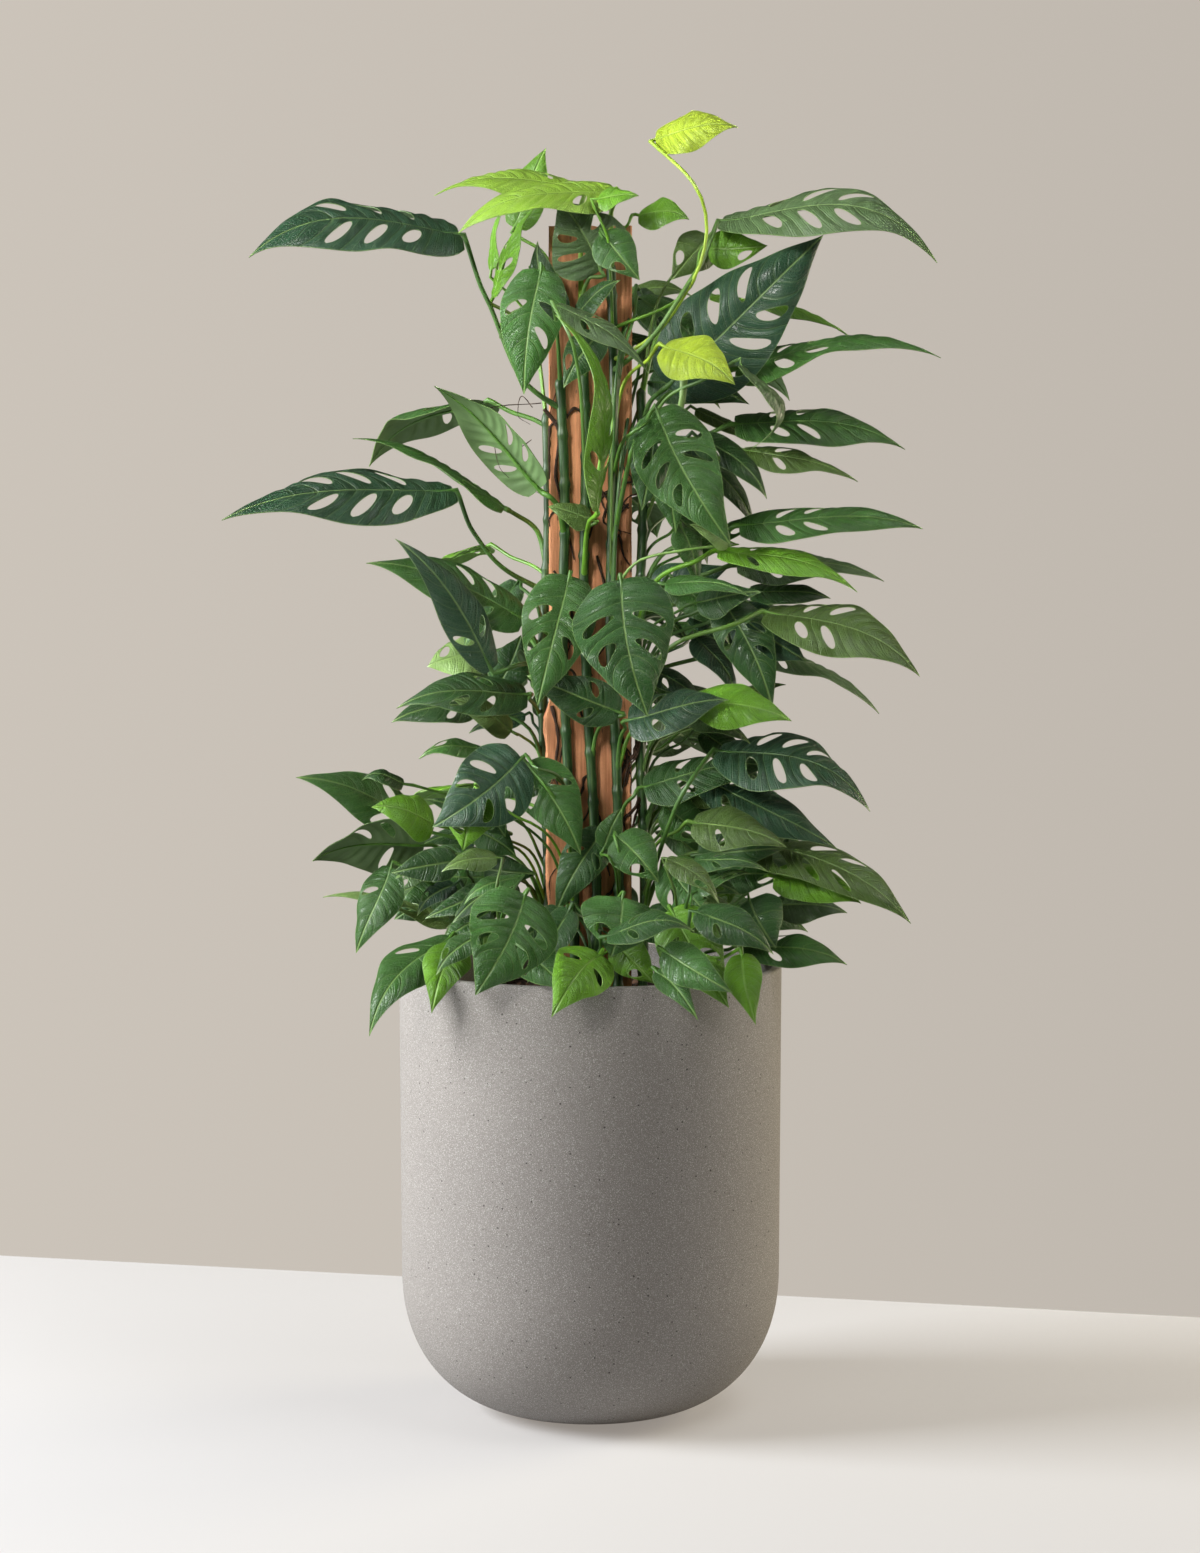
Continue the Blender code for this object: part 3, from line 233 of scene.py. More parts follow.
TOP_LEAVES = (
    Leaf(FR, (6.2, 119.0), (13.7, 120.1), (-3, -4), 5.6, FRONT_UP, LIME,
         0, 0.10, 0, ((8.8, 116), (10.6, 113), (10.4, 108), (6.6, 101.5))),
    Leaf(FL, (-12.5, 110.2), (-31.8, 108.1), (-4, -8), 11.0, HIGH, BLUE,
         6, 0.12, 0, ((-9.5, 104), (-6.5, 97))),
    Leaf(FM, (-1.0, 114.6), (-14.5, 113.8), (0, 1), 6.5, HIGH, YOUNG, 2, 0.1),
    Leaf(FR, (2.0, 114.2), (-12.3, 110.3), (-3, -5), 6.5, HIGH, YOUNG, 2, 0.14),
    Leaf(FR, (0.8, 113.5), (4.5, 113.8), (-5, -6), 3.0, FRONT_UP, FRESH),
    Leaf(BL, (-7.0, 111.0), (-4.1, 118.2), (4, 3), 4.5, FRONT_LEFT, FRESH, 1),
    Leaf(SL, (-9.0, 104.5), (-4.5, 113.3), (-1.5, -1), 5.0, LEFT, FRESH, 3),
    Leaf(SL, (-9.2, 107.0), (-8.0, 112.8), (1.5, 1.5), 3.0, LEFT, FRESH),
    Leaf(FM, (0.9, 107.0), (-3.0, 113.4), (-4.5, -4.5), 7.5, FRONT, GREY, 4),
    Leaf(FR, (1.2, 110.3), (4.6, 106.0), (-5.5, -6.5), 4.0, FRONT, GREEN, 1),
    Leaf(FM, (-1.0, 103.0), (2.8, 106.0), (-5, -6), 3.0, FRONT_UP, DEEP),
    Leaf(FR, (12.6, 111.4), (32.3, 107.6), (-3, -7), 8.5, HIGH, GREY,
         6, 0.18, 0, ((9, 105.5), (5.6, 100.5))),
    Leaf(FR, (11.0, 109.0), (16.5, 109.2), (-5, -6), 3.6, FRONT, FRESH,
         1, 0.06, 0, ((8.4, 104.4),)),
    Leaf(SR, (11.0, 110.0), (7.5, 106.0), (-1, -2), 4.0, FRONT, OLIVE, 2),
    Leaf(FR, (4.6, 112.0), (9.2, 111.6), (-3, -4), 3.8, FRONT_UP, FRESH, 0, 0.12),
    Leaf(SR, (7.5, 96.5), (21.7, 110.2), (-4, -5), 9.6, FRONT, BLUE, 6),
    Leaf(SR, (11.5, 104.5), (24.5, 100.5), (2, 1), 6.0, UP, FRESH, 2),
    Leaf(FR, (7.0, 99.8), (13.5, 96.3), (-10, -12), 5.5, FRONT_UP, LIME, 0, 0.1),
    Leaf(SR, (14.0, 97.8), (32.7, 98.8), (-1.5, -5), 8.5, HIGH, GREEN, 4, 0.1, 0.4),
    Leaf(SR, (14.0, 98.0), (15.2, 90.5), (-2, -2), 5.0, RIGHT, GREY, 0, 0.42),
    Leaf(FL, (-4.6, 106.8), (-6.2, 95.4), (-6, -6), 6.0, FRONT, GREEN, 3),
    Leaf(FM, (-3.0, 102.5), (-4.9, 109.6), (-4.5, -4.5), 3.8, FRONT_LEFT, DEEP, 1),
    Leaf(FM, (-3.0, 103.6), (5.4, 97.4), (-7, -8), 3.8, HIGH, GREY, 2),
    Leaf(FM, (0.8, 101.0), (-2.5, 96.0), (-5.5, -6), 3.6, FRONT, DEEP, 1),
    Leaf(FM, (0.5, 85.0), (-3.3, 102.8), (-4, -6), 6.0, RIGHT, FRESH, 3, 0.16),
)

MIDDLE_LEAVES = (
    Leaf(SR, (13.8, 92.6), (29.4, 90.3), (-1, 0), 8.0, HIGH, GREEN, 4, 0.08),
    Leaf(SR, (14.5, 90.2), (25.0, 87.3), (-4, -5), 4.6, HIGH, OLIVE, 2),
    Leaf(SR, (14.3, 83.2), (31.1, 82.9), (-2, -3), 5.8, HIGH, GREEN, 4, 0.08),
    Leaf(SR, (12.3, 80.7), (25.0, 77.0), (-5, -7), 4.8, HIGH, FRESH, 2),
    Leaf(BR, (14.0, 79.5), (27.5, 78.0), (4, 4), 6.0, HIGH, GREY, 2),
    Leaf(BR, (15.0, 77.0), (22.5, 76.4), (2, 2), 4.0, HIGH, DEEP),
    Leaf(FR, (13.0, 81.7), (9.3, 83.3), (-4, -5), 2.8, FRONT_UP, PALE),
    Leaf(SR, (8.5, 83.0), (9.8, 77.5), (-2, -2), 3.2, FRONT_RIGHT, GREEN),
    Leaf(SR, (7.2, 88.5), (8.0, 82.5), (-3, -3), 3.2, FRONT, GREEN),
    Leaf(FR, (6.3, 93.7), (13.2, 81.3), (-8, -11), 7.4, FRONT, GREEN, 5, 0.1, 0, ((4, 90.5),)),
    Leaf(FR, (6.0, 93.0), (4.8, 84.6), (-6, -6), 4.5, FRONT, DEEP, 2),
    Leaf(SR, (12.5, 76.0), (17.1, 66.0), (-5, -6), 5.0, FRONT, DEEP, 3),
    Leaf(SR, (10.0, 76.0), (16.0, 77.0), (-4, -5), 4.0, FRONT_UP, DEEP),
    Leaf(SR, (13.8, 75.0), (20.3, 70.5), (-3, -4), 5.0, FRONT, BLUE, 2),
    Leaf(SR, (16.8, 75.0), (30.9, 69.1), (-5, -8), 8.0, HIGH, OLIVE, 4, 0.1),
    Leaf(BR, (14.8, 72.0), (27.1, 65.6), (1, 1), 6.0, UP, GREY, 1),
    Leaf(FR, (3.7, 65.0), (13.0, 66.9), (-7, -9), 6.0, FRONT_UP, BLUE, 2, 0.1),
    Leaf(FR, (9.8, 66.8), (18.9, 64.9), (-9, -10), 5.0, FRONT_UP, FRESH, 0, 0.1),
    Leaf(SR, (9.5, 65.2), (15.0, 62.8), (-6, -7), 3.2, HIGH, GREY),
    Leaf(FL, (-5.0, 86.8), (-14.6, 96.2), (-4, -6), 6.0, UNDER, GREEN, 4),
    Leaf(SL, (-8.4, 85.0), (-22.2, 91.3), (-2, -4), 6.0, UP, GREEN, 2, 0.08),
    Leaf(SL, (-13.2, 86.4), (-34.5, 83.7), (-4, -9), 9.5, HIGH, BLUE, 6, 0.08, 0, ((-9, 80),)),
    Leaf(FM, (0.0, 83.8), (-4.0, 85.0), (-4.5, -5), 3.0, FRONT_UP, OLIVE),
    Leaf(FL, (-6.6, 74.6), (-21.0, 79.7), (-5, -7), 6.4, FRONT_UP, GREEN, 3, 0.08),
    Leaf(SL, (-9.5, 70.0), (-18.3, 82.0), (-6, -8), 4.4, FRONT_UP, BLUE, 2),
    Leaf(SL, (-10.3, 71.4), (-15.3, 70.0), (1, 0.5), 5.0, FRONT_UP, PALE, 1, 0.1),
    Leaf(SL, (-6.2, 67.4), (-18.2, 66.1), (-4, -6), 5.6, FRONT_UP, DEEP, 3, 0.16),
    Leaf(SL, (-8.5, 68.5), (-6.5, 73.0), (-3, -3), 4.0, FRONT, DEEP, 1),
    Leaf(SL, (-7.5, 64.0), (-13.0, 67.0), (-2, -3), 3.2, FRONT_UP, PALE),
    Leaf(FL, (-6.6, 61.3), (-14.9, 54.9), (-8, -10), 7.4, FRONT, BLUE, 4),
)

FRONT_LEAVES = (
    Leaf(FL, (-2.0, 78.3), (-5.0, 66.3), (-7, -9), 6.8, FRONT, GREEN, 4),
    Leaf(FR, (2.9, 78.0), (5.4, 65.3), (-9, -12), 9.3, FRONT, DEEP, 6),
    Leaf(FM, (2.6, 65.8), (-6.0, 69.2), (-6, -6), 4.4, FRONT, DEEP, 2),
    Leaf(FL, (-6.0, 60.8), (-0.9, 52.3), (-7, -8), 5.5, FRONT, GREEN, 2),
    Leaf(FL, (-4.0, 60.2), (-9.8, 57.2), (-6, -7), 3.8, FRONT_UP, GREEN, 1),
    Leaf(FM, (1.2, 54.5), (-3.3, 46.8), (-5.5, -6), 4.2, FRONT, DEEP, 2),
    Leaf(FR, (1.3, 53.0), (3.0, 56.8), (-6, -6), 2.4, FRONT, GREEN),
    Leaf(FR, (2.6, 54.0), (6.4, 49.7), (-7.5, -9), 4.5, FRONT, GREEN, 1),
    Leaf(SR, (7.3, 51.4), (12.8, 45.1), (-9, -11), 5.2, FRONT, GREEN, 2),
    Leaf(HR, (7.7, 47.0), (13.1, 37.8), (-12, -16), 5.8, FRONT, FRESH, 3, 0.1),
    Leaf(HF, (3.0, 48.2), (1.9, 42.6), (-13, -15), 7.3, FRONT, GREEN, 2),
    Leaf(HF, (2.4, 43.8), (6.1, 40.1), (-14, -15), 3.6, FRONT, FRESH, 1),
    Leaf(HF, (0.8, 42.8), (-3.7, 36.9), (-15, -20.5), 5.5, FRONT, FRESH, 2, 0.17),
    Leaf(HL, (-6.6, 43.6), (-1.6, 39.1), (-15.5, -19.5), 3.9, FRONT, GREEN, 1, 0.12),
    Leaf(HR, (6.3, 41.2), (10.2, 36.6), (-15, -19.5), 2.4, FRONT, GREEN, 0, 0.16),
    Leaf(HR, (7.0, 43.2), (13.5, 39.2), (-12, -15.5), 3.8, FRONT, GREEN, 0, 0.12),
    Leaf(HR, (14.3, 42.8), (15.6, 36.2), (-9.5, -13), 3.4, FRONT, FRESH, 0, 0.16),
    Leaf(SR, (5.0, 46.5), (9.0, 44.0), (-5, -6), 4.0, FRONT, DEEP),
)

LOWER_LEAVES = (
    Leaf(SR, (12.3, 62.0), (26.3, 56.4), (-5, -8), 9.5, HIGH, BLUE,
         6, 0.14, 0, ((8.6, 58),)),
    Leaf(FR, (5.2, 58.7), (17.2, 60.6), (-4, -4), 6.5, HIGH, DEEP, 3),
    Leaf(SR, (10.5, 59.7), (23.3, 52.8), (-7, -9), 5.6, FRONT_UP, BLUE, 2),
    Leaf(SR, (9.8, 55.3), (18.5, 53.0), (-6.5, -8), 5.0, FRONT_UP, OLIVE, 1),
    Leaf(SR, (14.5, 53.8), (30.2, 45.8), (-7, -11), 6.8, HIGH, OLIVE, 6, 0.08),
    Leaf(HSR, (12.5, 51.6), (27.2, 50.4), (2, 2), 6.0, UP, GREY, 2),
    Leaf(HSR, (12.6, 50.5), (18.7, 50.3), (0, 0), 4.0, FRONT_UP, GREEN, 1),
    Leaf(HSR, (17.5, 50.2), (25.5, 47.7), (-2, -3), 4.5, FRONT_UP, FRESH),
    Leaf(HSR, (17.5, 47.5), (24.2, 46.8), (-0.5, -1), 4.0, FRONT_UP, GREY),
    Leaf(HR, (15.0, 48.0), (17.5, 43.5), (-6, -7), 5.5, FRONT, DEEP, 1),
    Leaf(HSR, (14.5, 43.6), (24.2, 41.9), (-3, -4), 5.0, HIGH, GREEN, 2, 0.1),
    Leaf(HL, (-6.2, 48.4), (-10.9, 39.0), (-15, -18.5), 8.2, FRONT, GREEN, 4, 0.12),
    Leaf(HSL, (-13.3, 44.4), (-20.9, 35.1), (-8, -15), 5.8, FRONT_LEFT, GREEN, 2, 0.18),
    Leaf(HL, (-12.6, 43.6), (-15.0, 37.3), (-12.5, -17), 4.2, FRONT, FRESH, 0, 0.18),
    Leaf(HL, (-7.0, 45.0), (-10.3, 40.6), (-11, -13), 3.6, FRONT, GREEN),
    Leaf(HSL, (-18.8, 51.0), (-22.1, 43.0), (-4, -5), 4.5, FRONT_LEFT, GREEN, 1),
    Leaf(HSL, (-13.5, 46.0), (-25.2, 48.3), (-3, -4), 5.0, UP, PALE, 2),
    Leaf(HSL, (-13.5, 48.5), (-18.5, 46.2), (-1, -1), 4.0, FRONT, GREEN),
    Leaf(HSL, (-10.0, 50.2), (-15.0, 50.0), (1, 1), 3.6, FRONT_UP, GREEN),
    Leaf(SL, (-15.8, 53.2), (-26.2, 51.7), (-2, -5), 7.0, UNDER, DEEP, 3),
    Leaf(SL, (-16.0, 54.8), (-27.7, 59.6), (2, 0), 5.5, FRONT_UP, GREEN, 2),
    Leaf(SL, (-14.8, 55.2), (-20.6, 56.8), (-5, -7), 4.8, FRONT_UP, FRESH, 0, 0.12),
    Leaf(SL, (-17.6, 59.0), (-21.5, 59.3), (-1, -1), 3.0, HIGH, DEEP, 0, 0.25),
    Leaf(FL, (-11.0, 58.0), (-12.0, 52.7), (-9, -10), 4.8, FRONT, FRESH, 2),
    Leaf(SL, (-11.3, 52.5), (-18.4, 50.0), (-6, -8), 4.0, HIGH, GREEN),
    Leaf(FL, (-11.0, 58.0), (-8.0, 54.0), (-7, -7), 4.0, FRONT, DEEP, 1),
    Leaf(SL, (-10.5, 54.5), (-7.0, 52.2), (-5, -5), 3.2, FRONT, GREEN),
    Leaf(SL, (-10.0, 51.0), (-5.0, 50.5), (-4, -4), 3.0, FRONT, DEEP),
    Leaf(HSL, (-14.0, 49.8), (-19.5, 47.6), (2, 2), 4.2, FRONT_UP, GREY, 1),
    Leaf(HSL, (-9.5, 47.0), (-13.8, 44.2), (-9, -10), 3.8, FRONT_UP, GREEN),
    Leaf(SL, (-7.2, 47.6), (-11.8, 51.2), (2, 3), 4.0, FRONT, DEEP, 1),
    Leaf(HR, (9.5, 47.5), (14.0, 49.0), (-3, -3), 4.0, FRONT_UP, FRESH, 1),
    Leaf(SR, (7.0, 57.0), (11.5, 53.5), (-1, -1), 4.0, FRONT, GREEN, 1),
    Leaf(HF, (-2.5, 47.0), (-5.5, 43.0), (-9, -10), 4.0, FRONT, DEEP, 1),
    Leaf(HSR, (12.0, 47.5), (20.5, 45.0), (5, 6), 5.0, HIGH, GREEN, 1),
)

# The leaves at the back follow a rule: how many, and how they are spread round and up the stems
BACK_LEAVES = 14
BACK_LOWEST = 50.0
BACK_HIGHEST = 108.0
BACK_SPREAD = 11.0
BACK_TURN = 2.4
BACK_HOLES = 3
BACK_ARCH = 0.10
# Those nearer the middle than this share of the spread face straight back
BACK_STRAIGHT = 0.4
# Their length, how it varies and by what turn, and as shares of it how far they lie out, hang and reach back
# and how wide they are
BACK_REACH = 10.0
BACK_REACH_RANGE = 3.5
BACK_REACH_TURN = 1.3
BACK_OUT = 0.9
BACK_FALL = 0.45
BACK_DEEP = 0.75
BACK_WIDTH = 0.62
# How far behind the board they start, in centimetres, how that varies, and by what turn
BACK_START = 6.5
BACK_START_RANGE = (3.0, 2.0)
BACK_START_TURN = 2.9
# Below this height they grow from the shoot at the back
BACK_SHOOT_TOP = 54

# The ribs of a blade by size: where each leaves the midrib and where it meets the edge, both along the blade
RIBS = {
    Size.LARGE: ((0.11, 0.21), (0.25, 0.41), (0.41, 0.59), (0.58, 0.77)),
    Size.MEDIUM: ((0.15, 0.27), (0.34, 0.53), (0.55, 0.77)),
    Size.SMALL: ((0.30, 0.44),),
}
# The edge's point nearest the stalk, as a share of the blade's length
FIRST = {Size.LARGE: 0.03, Size.MEDIUM: 0.04, Size.SMALL: 0.06}
# The cells between ribs that take a hole, in the order that holes are given out: side and number of the cell
HOLE_ORDER = {
    Size.LARGE: ((1, 1), (-1, 1), (1, 2), (-1, 2), (1, 3), (-1, 3)),
    Size.MEDIUM: ((1, 1), (-1, 1), (-1, 2), (1, 2)),
    Size.SMALL: ((1, 1),),
}
# On a small blade the hole's cell ends here, along the midrib and along the edge
SMALL_CELL_END = (1.0, 0.74)
LARGE_LENGTH = 0.128
MEDIUM_LENGTH = 0.066
STALK_PARTS = {Size.LARGE: 3, Size.MEDIUM: 2, Size.SMALL: 2}
STALK_RADIUS = {Size.LARGE: 0.0021, Size.MEDIUM: 0.0016, Size.SMALL: 0.0013}
NECK = 0.007

# The levels and the board that the leaves keep clear of
SOIL_LEVEL = 0.387
SOIL_SWELL = 0.004
BOARD_WIDTH = 0.078
BOARD_TOP = 1.110
RIM_RADIUS = 0.180
WALL = 0.0095
POT_HEIGHT = 0.420
STEM_DEPTH = 0.080
STEM_STEP = 0.120
STEM_SWAY = 0.004
STEM_STRAIGHT = 0.004
STEM_TURNS = 9

# How close the leaves come to each other and to what else is there, and how far apart they are sampled
BLADE_ROOM = 0.0075
STALK_ROOM = 0.0066
SAMPLE = 0.0090
# How far apart the points on the board, the wall and the soil are, and how far down the wall they go
FIXTURE_STEP = 0.008
WALL_DEPTH = 0.065
# How far apart those on a stem are
STEM_SAMPLE = 0.005
# Into how many parts a stalk is cut to test it, and how many at each end are left out
STALK_SAMPLES = 40
STALK_ENDS = (7, 2)
# The steps of depth that a blade tries, in centimetres, and how many each way
DEPTH_STEP = 0.7
DEPTH_STEPS = 14
# How far down the stem a stalk may start, and how far it may swing to the front or back
DROPS = (1.0, 0.7, 1.4, 0.4, 1.9, 0.1, 2.5, 3.2)
SWAYS = (0.0, -0.012, 0.012, -0.024, 0.024, -0.036, 0.036, -0.05, 0.05)
# A stalk starts this far below its blade, and further by this share of its way out to it
STALK_DROP = 0.030
STALK_SLOPE = 0.42
# A stalk stays this far above the soil and below its stem's tip
STALK_LOWEST = 0.012
STALK_HIGHEST = 0.010
# Its bow: a place near the blade and one near the stem, as shares of its way out and of its rise
NEAR_BLADE = (0.30, 0.12)
NEAR_STEM = (0.78, 0.45)
BOW = 0.05

# The outline's power towards the tip, and the largest value that it would have undivided
TAPER = 1.2
PEAK = 0.357
# How the halves rise from the midrib, how their edges hang and how they wave, as shares of the half width
FOLD = 0.30
HANG = 0.46
WAVE = 0.13
WAVES = 1.3
WAVE_STEP = 0.37
WAVE_LAG = 1.7
# How the arch leans to the tip, how blades differ in turn and in bend, and how far the lobes reach back
ARCH_LEAN = 0.5
TURN_RANGE = 0.20
TURN_STEP = 2.1
BEND_RANGE = 0.05
BEND_STEP = 1.7
LOBE = 0.06
LOBE_END = 0.2
# The step over which a blade's slope is taken, and the part of it where that is done
SLOPE_STEP = 0.02
SLOPE_PART = (0.03, 0.95)


def unit(vector: Array) -> Array:
    """The vector, or each row of an array of them, at length one."""
    return vector / np.linalg.norm(vector, axis=-1, keepdims=True)


def seen(x: float, z: float, y: float) -> Array:
    """The point at depth y that covers the point x, z of the plane y = 0, all in centimetres."""
    on_plane = np.array([x, 0.0, z]) * CM
    return EYE + (on_plane - EYE) * (1 + y * CM / -EYE[1])


def outline(s: Array) -> Array:
    """Half a blade's width at s, as a share of the largest: the root of s, times 1 - s to the power TAPER."""
    s = np.clip(s, 0.0, 1.0)
    return np.sqrt(s) * (1 - s) ** TAPER / PEAK


class Blade:
    """The middle surface of one leaf. s runs from 0 at the stalk to 1 at the tip, t from -1 to 1 across."""

    def __init__(self, leaf: Leaf, number: int, shift: float = 0.0) -> None:
        """Puts the blade at its place.

        Args:
            leaf: the leaf as it is seen.
            number: its place in the order of leaves, which varies its wave and its bend.
            shift: how much further away it lies than the leaf says, in centimetres.
        """
        self.leaf = leaf
        self.number = number
        self.base = seen(*leaf.base, leaf.depth[0] + shift)
        chord = seen(*leaf.tip, leaf.depth[1] + shift) - self.base
        self.length = float(np.linalg.norm(chord))
        self.along = chord / self.length
        hint = np.array(leaf.facing.value)
        self.up = unit(hint - hint.dot(self.along) * self.along)
        self.side = np.cross(self.along, self.up)
        self.half = leaf.width * CM / 2
        small = Size.MEDIUM if self.length > MEDIUM_LENGTH else Size.SMALL
        self.size = Size.LARGE if self.length > LARGE_LENGTH else small

    def points(self, s: Array, t: Array) -> Array:
        """Points of the surface.

        A point lies s times the length along the blade and t times the outline's half width across it. Each
        half rises by FOLD times t, hangs by HANG times t squared and waves by WAVE times t squared times a
        sine along s. The blade turns about its midrib in step with s. The midrib arches up by 4 s (1 - s),
        which leans to the tip, and bends aside by the same bow.

        Args:
            s: places along the blade.
            t: places across it, as many as s.

        Returns:
            An array with a last axis of x, y and z.
        """
        s = np.asarray(s, float)
        t = np.asarray(t, float)
        spread = self.half * outline(s)
        across = spread * t
        wave = np.sin(TAU * (WAVES * s + WAVE_STEP * self.number) + WAVE_LAG * t)
        rise = spread * (FOLD * np.abs(t) - HANG * t**2 + WAVE * t**2 * wave)
        turn = (self.leaf.twist + TURN_RANGE * math.sin(TURN_STEP * self.number)) * s
        sideways = across * np.cos(turn) - rise * np.sin(turn)
        bow = 4 * s * (1 - s) * self.length
        arch = self.leaf.arch * bow * (1 + ARCH_LEAN * (2 * s - 1))
        lift = across * np.sin(turn) + rise * np.cos(turn) + arch
        bend = BEND_RANGE * math.sin(BEND_STEP * self.number) * bow
        back = LOBE * np.clip(1 - s / LOBE_END, 0, 1) ** 2 * np.abs(t)
        along = self.length * (s - back)
        return (
            self.base
            + along[..., None] * self.along
            + (sideways + bend)[..., None] * self.side
            + lift[..., None] * self.up
        )

    def normals(self, s: Array, t: Array) -> Array:
        """Directions out of the upper face: the slope across it times that along it, as a cross product.

        Args:
            s: places along the blade.
            t: places across it.

        Returns:
            The directions, at length one.
        """
        s = np.clip(np.asarray(s, float), *SLOPE_PART)
        t = np.asarray(t, float)
        run = self.points(s + SLOPE_STEP, t) - self.points(s - SLOPE_STEP, t)
        spread = self.points(s, t + SLOPE_STEP) - self.points(s, t - SLOPE_STEP)
        return unit(np.cross(spread, run))

    def samples(self) -> Array:
        """A grid of points over the blade, about SAMPLE apart."""
        rows = max(4, math.ceil(self.length / SAMPLE) + 1)
        columns = max(3, math.ceil(2 * self.half / SAMPLE) + 1)
        s, t = np.meshgrid(np.linspace(0.02, 1, rows), np.linspace(-1, 1, columns), indexing="ij")
        return self.points(s, t).reshape(-1, 3)


class Crowd:
    """The room that is taken, as points, each with the name of what it belongs to."""

    def __init__(self) -> None:
        """Starts with nothing taken."""
        self.points = np.empty((0, 3))
        self.owners = np.empty(0, dtype=object)

    def add(self, points: Array, owner: str) -> None:
        """Takes the room of these points for the owner."""
        self.points = np.vstack([self.points, points])
        self.owners = np.concatenate([self.owners, np.full(len(points), owner, dtype=object)])

    def without(self, owners: set[str]) -> Array:
        """The taken points that belong to none of the owners."""
        return self.points[~np.isin(self.owners.astype(str), list(owners))]


def clashes(points: Array, taken: Array, room: float) -> int:
    """How many of the points have a taken point nearer than room.

    Args:
        points: places to test.
        taken: places that are taken.
        room: the least distance, in metres.

    Returns:
        The number of points.
    """
    low = points.min(axis=0) - room
    high = points.max(axis=0) + room
    near = taken[((taken > low) & (taken < high)).all(axis=1)]
    if not len(near):
        return 0
    apart = np.linalg.norm(points[:, None] - near[None], axis=2).min(axis=1)
    return int((apart < room).sum())


def back_leaves() -> list[Leaf]:
    """The leaves that face away, by even steps up the back, each turned by a fixed angle from the last.

    Returns:
        The leaves, from the lowest up.
    """
    tones = (GREEN, DEEP, FRESH, GREEN, BLUE)
    leaves = []
    for i in range(BACK_LEAVES):
        height = BACK_LOWEST + (BACK_HIGHEST - BACK_LOWEST) * i / (BACK_LEAVES - 1)
        aside = math.sin(BACK_TURN * i)
        x = BACK_SPREAD * aside
        reach = BACK_REACH + BACK_REACH_RANGE * math.cos(BACK_REACH_TURN * i)
        facing = BACK_LEFT if aside < 0 else BACK_RIGHT
        facing = BACK if abs(aside) < BACK_STRAIGHT else facing
        stem = BL if aside < 0 else BR
        by_place, by_turn = BACK_START_RANGE
        depth = BACK_START + by_place * (1 - abs(aside)) + by_turn * math.sin(BACK_START_TURN * i)
        tip = (x + BACK_OUT * reach * aside, height - BACK_FALL * reach)
        stem = HB if height < BACK_SHOOT_TOP else stem
        ends = (depth, depth + BACK_DEEP * reach)
        width = BACK_WIDTH * reach
        tone = tones[i % len(tones)]
        leaves.append(Leaf(stem, (x, height), tip, ends, width, facing, tone, BACK_HOLES, BACK_ARCH))
    return leaves


def stem_corners(name: str) -> Array:
    """The middle of a stem where it bends: straight in the soil, with a slow sway above it.

    Args:
        name: the stem.

    Returns:
        Its corners from the foot up. The sway is a sine of the height times half a wave of it.
    """
    plan = STEMS[name]
    top = plan.top * CM
    parts = max(2, round((top - SOIL_LEVEL) / STEM_STEP))
    z = np.array([SOIL_LEVEL - STEM_DEPTH, *np.linspace(SOIL_LEVEL + STEM_STRAIGHT, top, parts + 1)])
    share = np.clip((z - z[1]) / (top - z[1]), 0, 1)
    sway = STEM_SWAY * np.sin(STEM_TURNS * share) * np.sin(math.pi * share)
    x = (plan.foot[0] + (plan.head[0] - plan.foot[0]) * share) * CM + sway
    y = (plan.foot[1] + (plan.head[1] - plan.foot[1]) * share) * CM
    return np.stack([x, y, z], axis=-1)


def stem_axis(name: str, z: Array) -> Array:
    """The middle of a stem at heights z, in metres.

    Args:
        name: the stem.
        z: the heights.

    Returns:
        The points, on straight lines between its corners.
    """
    corners = stem_corners(name)
    x, y = (np.interp(z, corners[:, 2], corners[:, k]) for k in (0, 1))
    return np.stack([x, y, z], axis=-1)


def fixtures() -> Array:
    """Points on what the leaves stay clear of: the board, the rim and wall of the planter, and the soil.

    Returns:
        The points, as rows.
    """
    half = BOARD_WIDTH / 2
    x, z = np.meshgrid(np.linspace(-half, half, 11), np.arange(SOIL_LEVEL, BOARD_TOP, FIXTURE_STEP))
    deep = BOARD_THICKNESS / 2
    sheets = [np.stack([x, np.full_like(x, y), z], -1) for y in (-deep, 0, deep)]
    skin = 0.001
    round_it = np.linspace(0, TAU, 150, endpoint=False)
    turn, depth = np.meshgrid(round_it, np.arange(skin, WALL_DEPTH, FIXTURE_STEP))
    for radius in (RIM_RADIUS - skin, RIM_RADIUS - WALL):
        sheets.append(np.stack([radius * np.cos(turn), radius * np.sin(turn), POT_HEIGHT - depth], -1))
    reach = RIM_RADIUS - WALL
    places = np.arange(-reach, reach, FIXTURE_STEP)
    x, y = np.meshgrid(places, places)
    sheets.append(np.stack([x, y, np.full_like(x, SOIL_LEVEL + SOIL_SWELL)], -1))
    return np.vstack([sheet.reshape(-1, 3) for sheet in sheets])


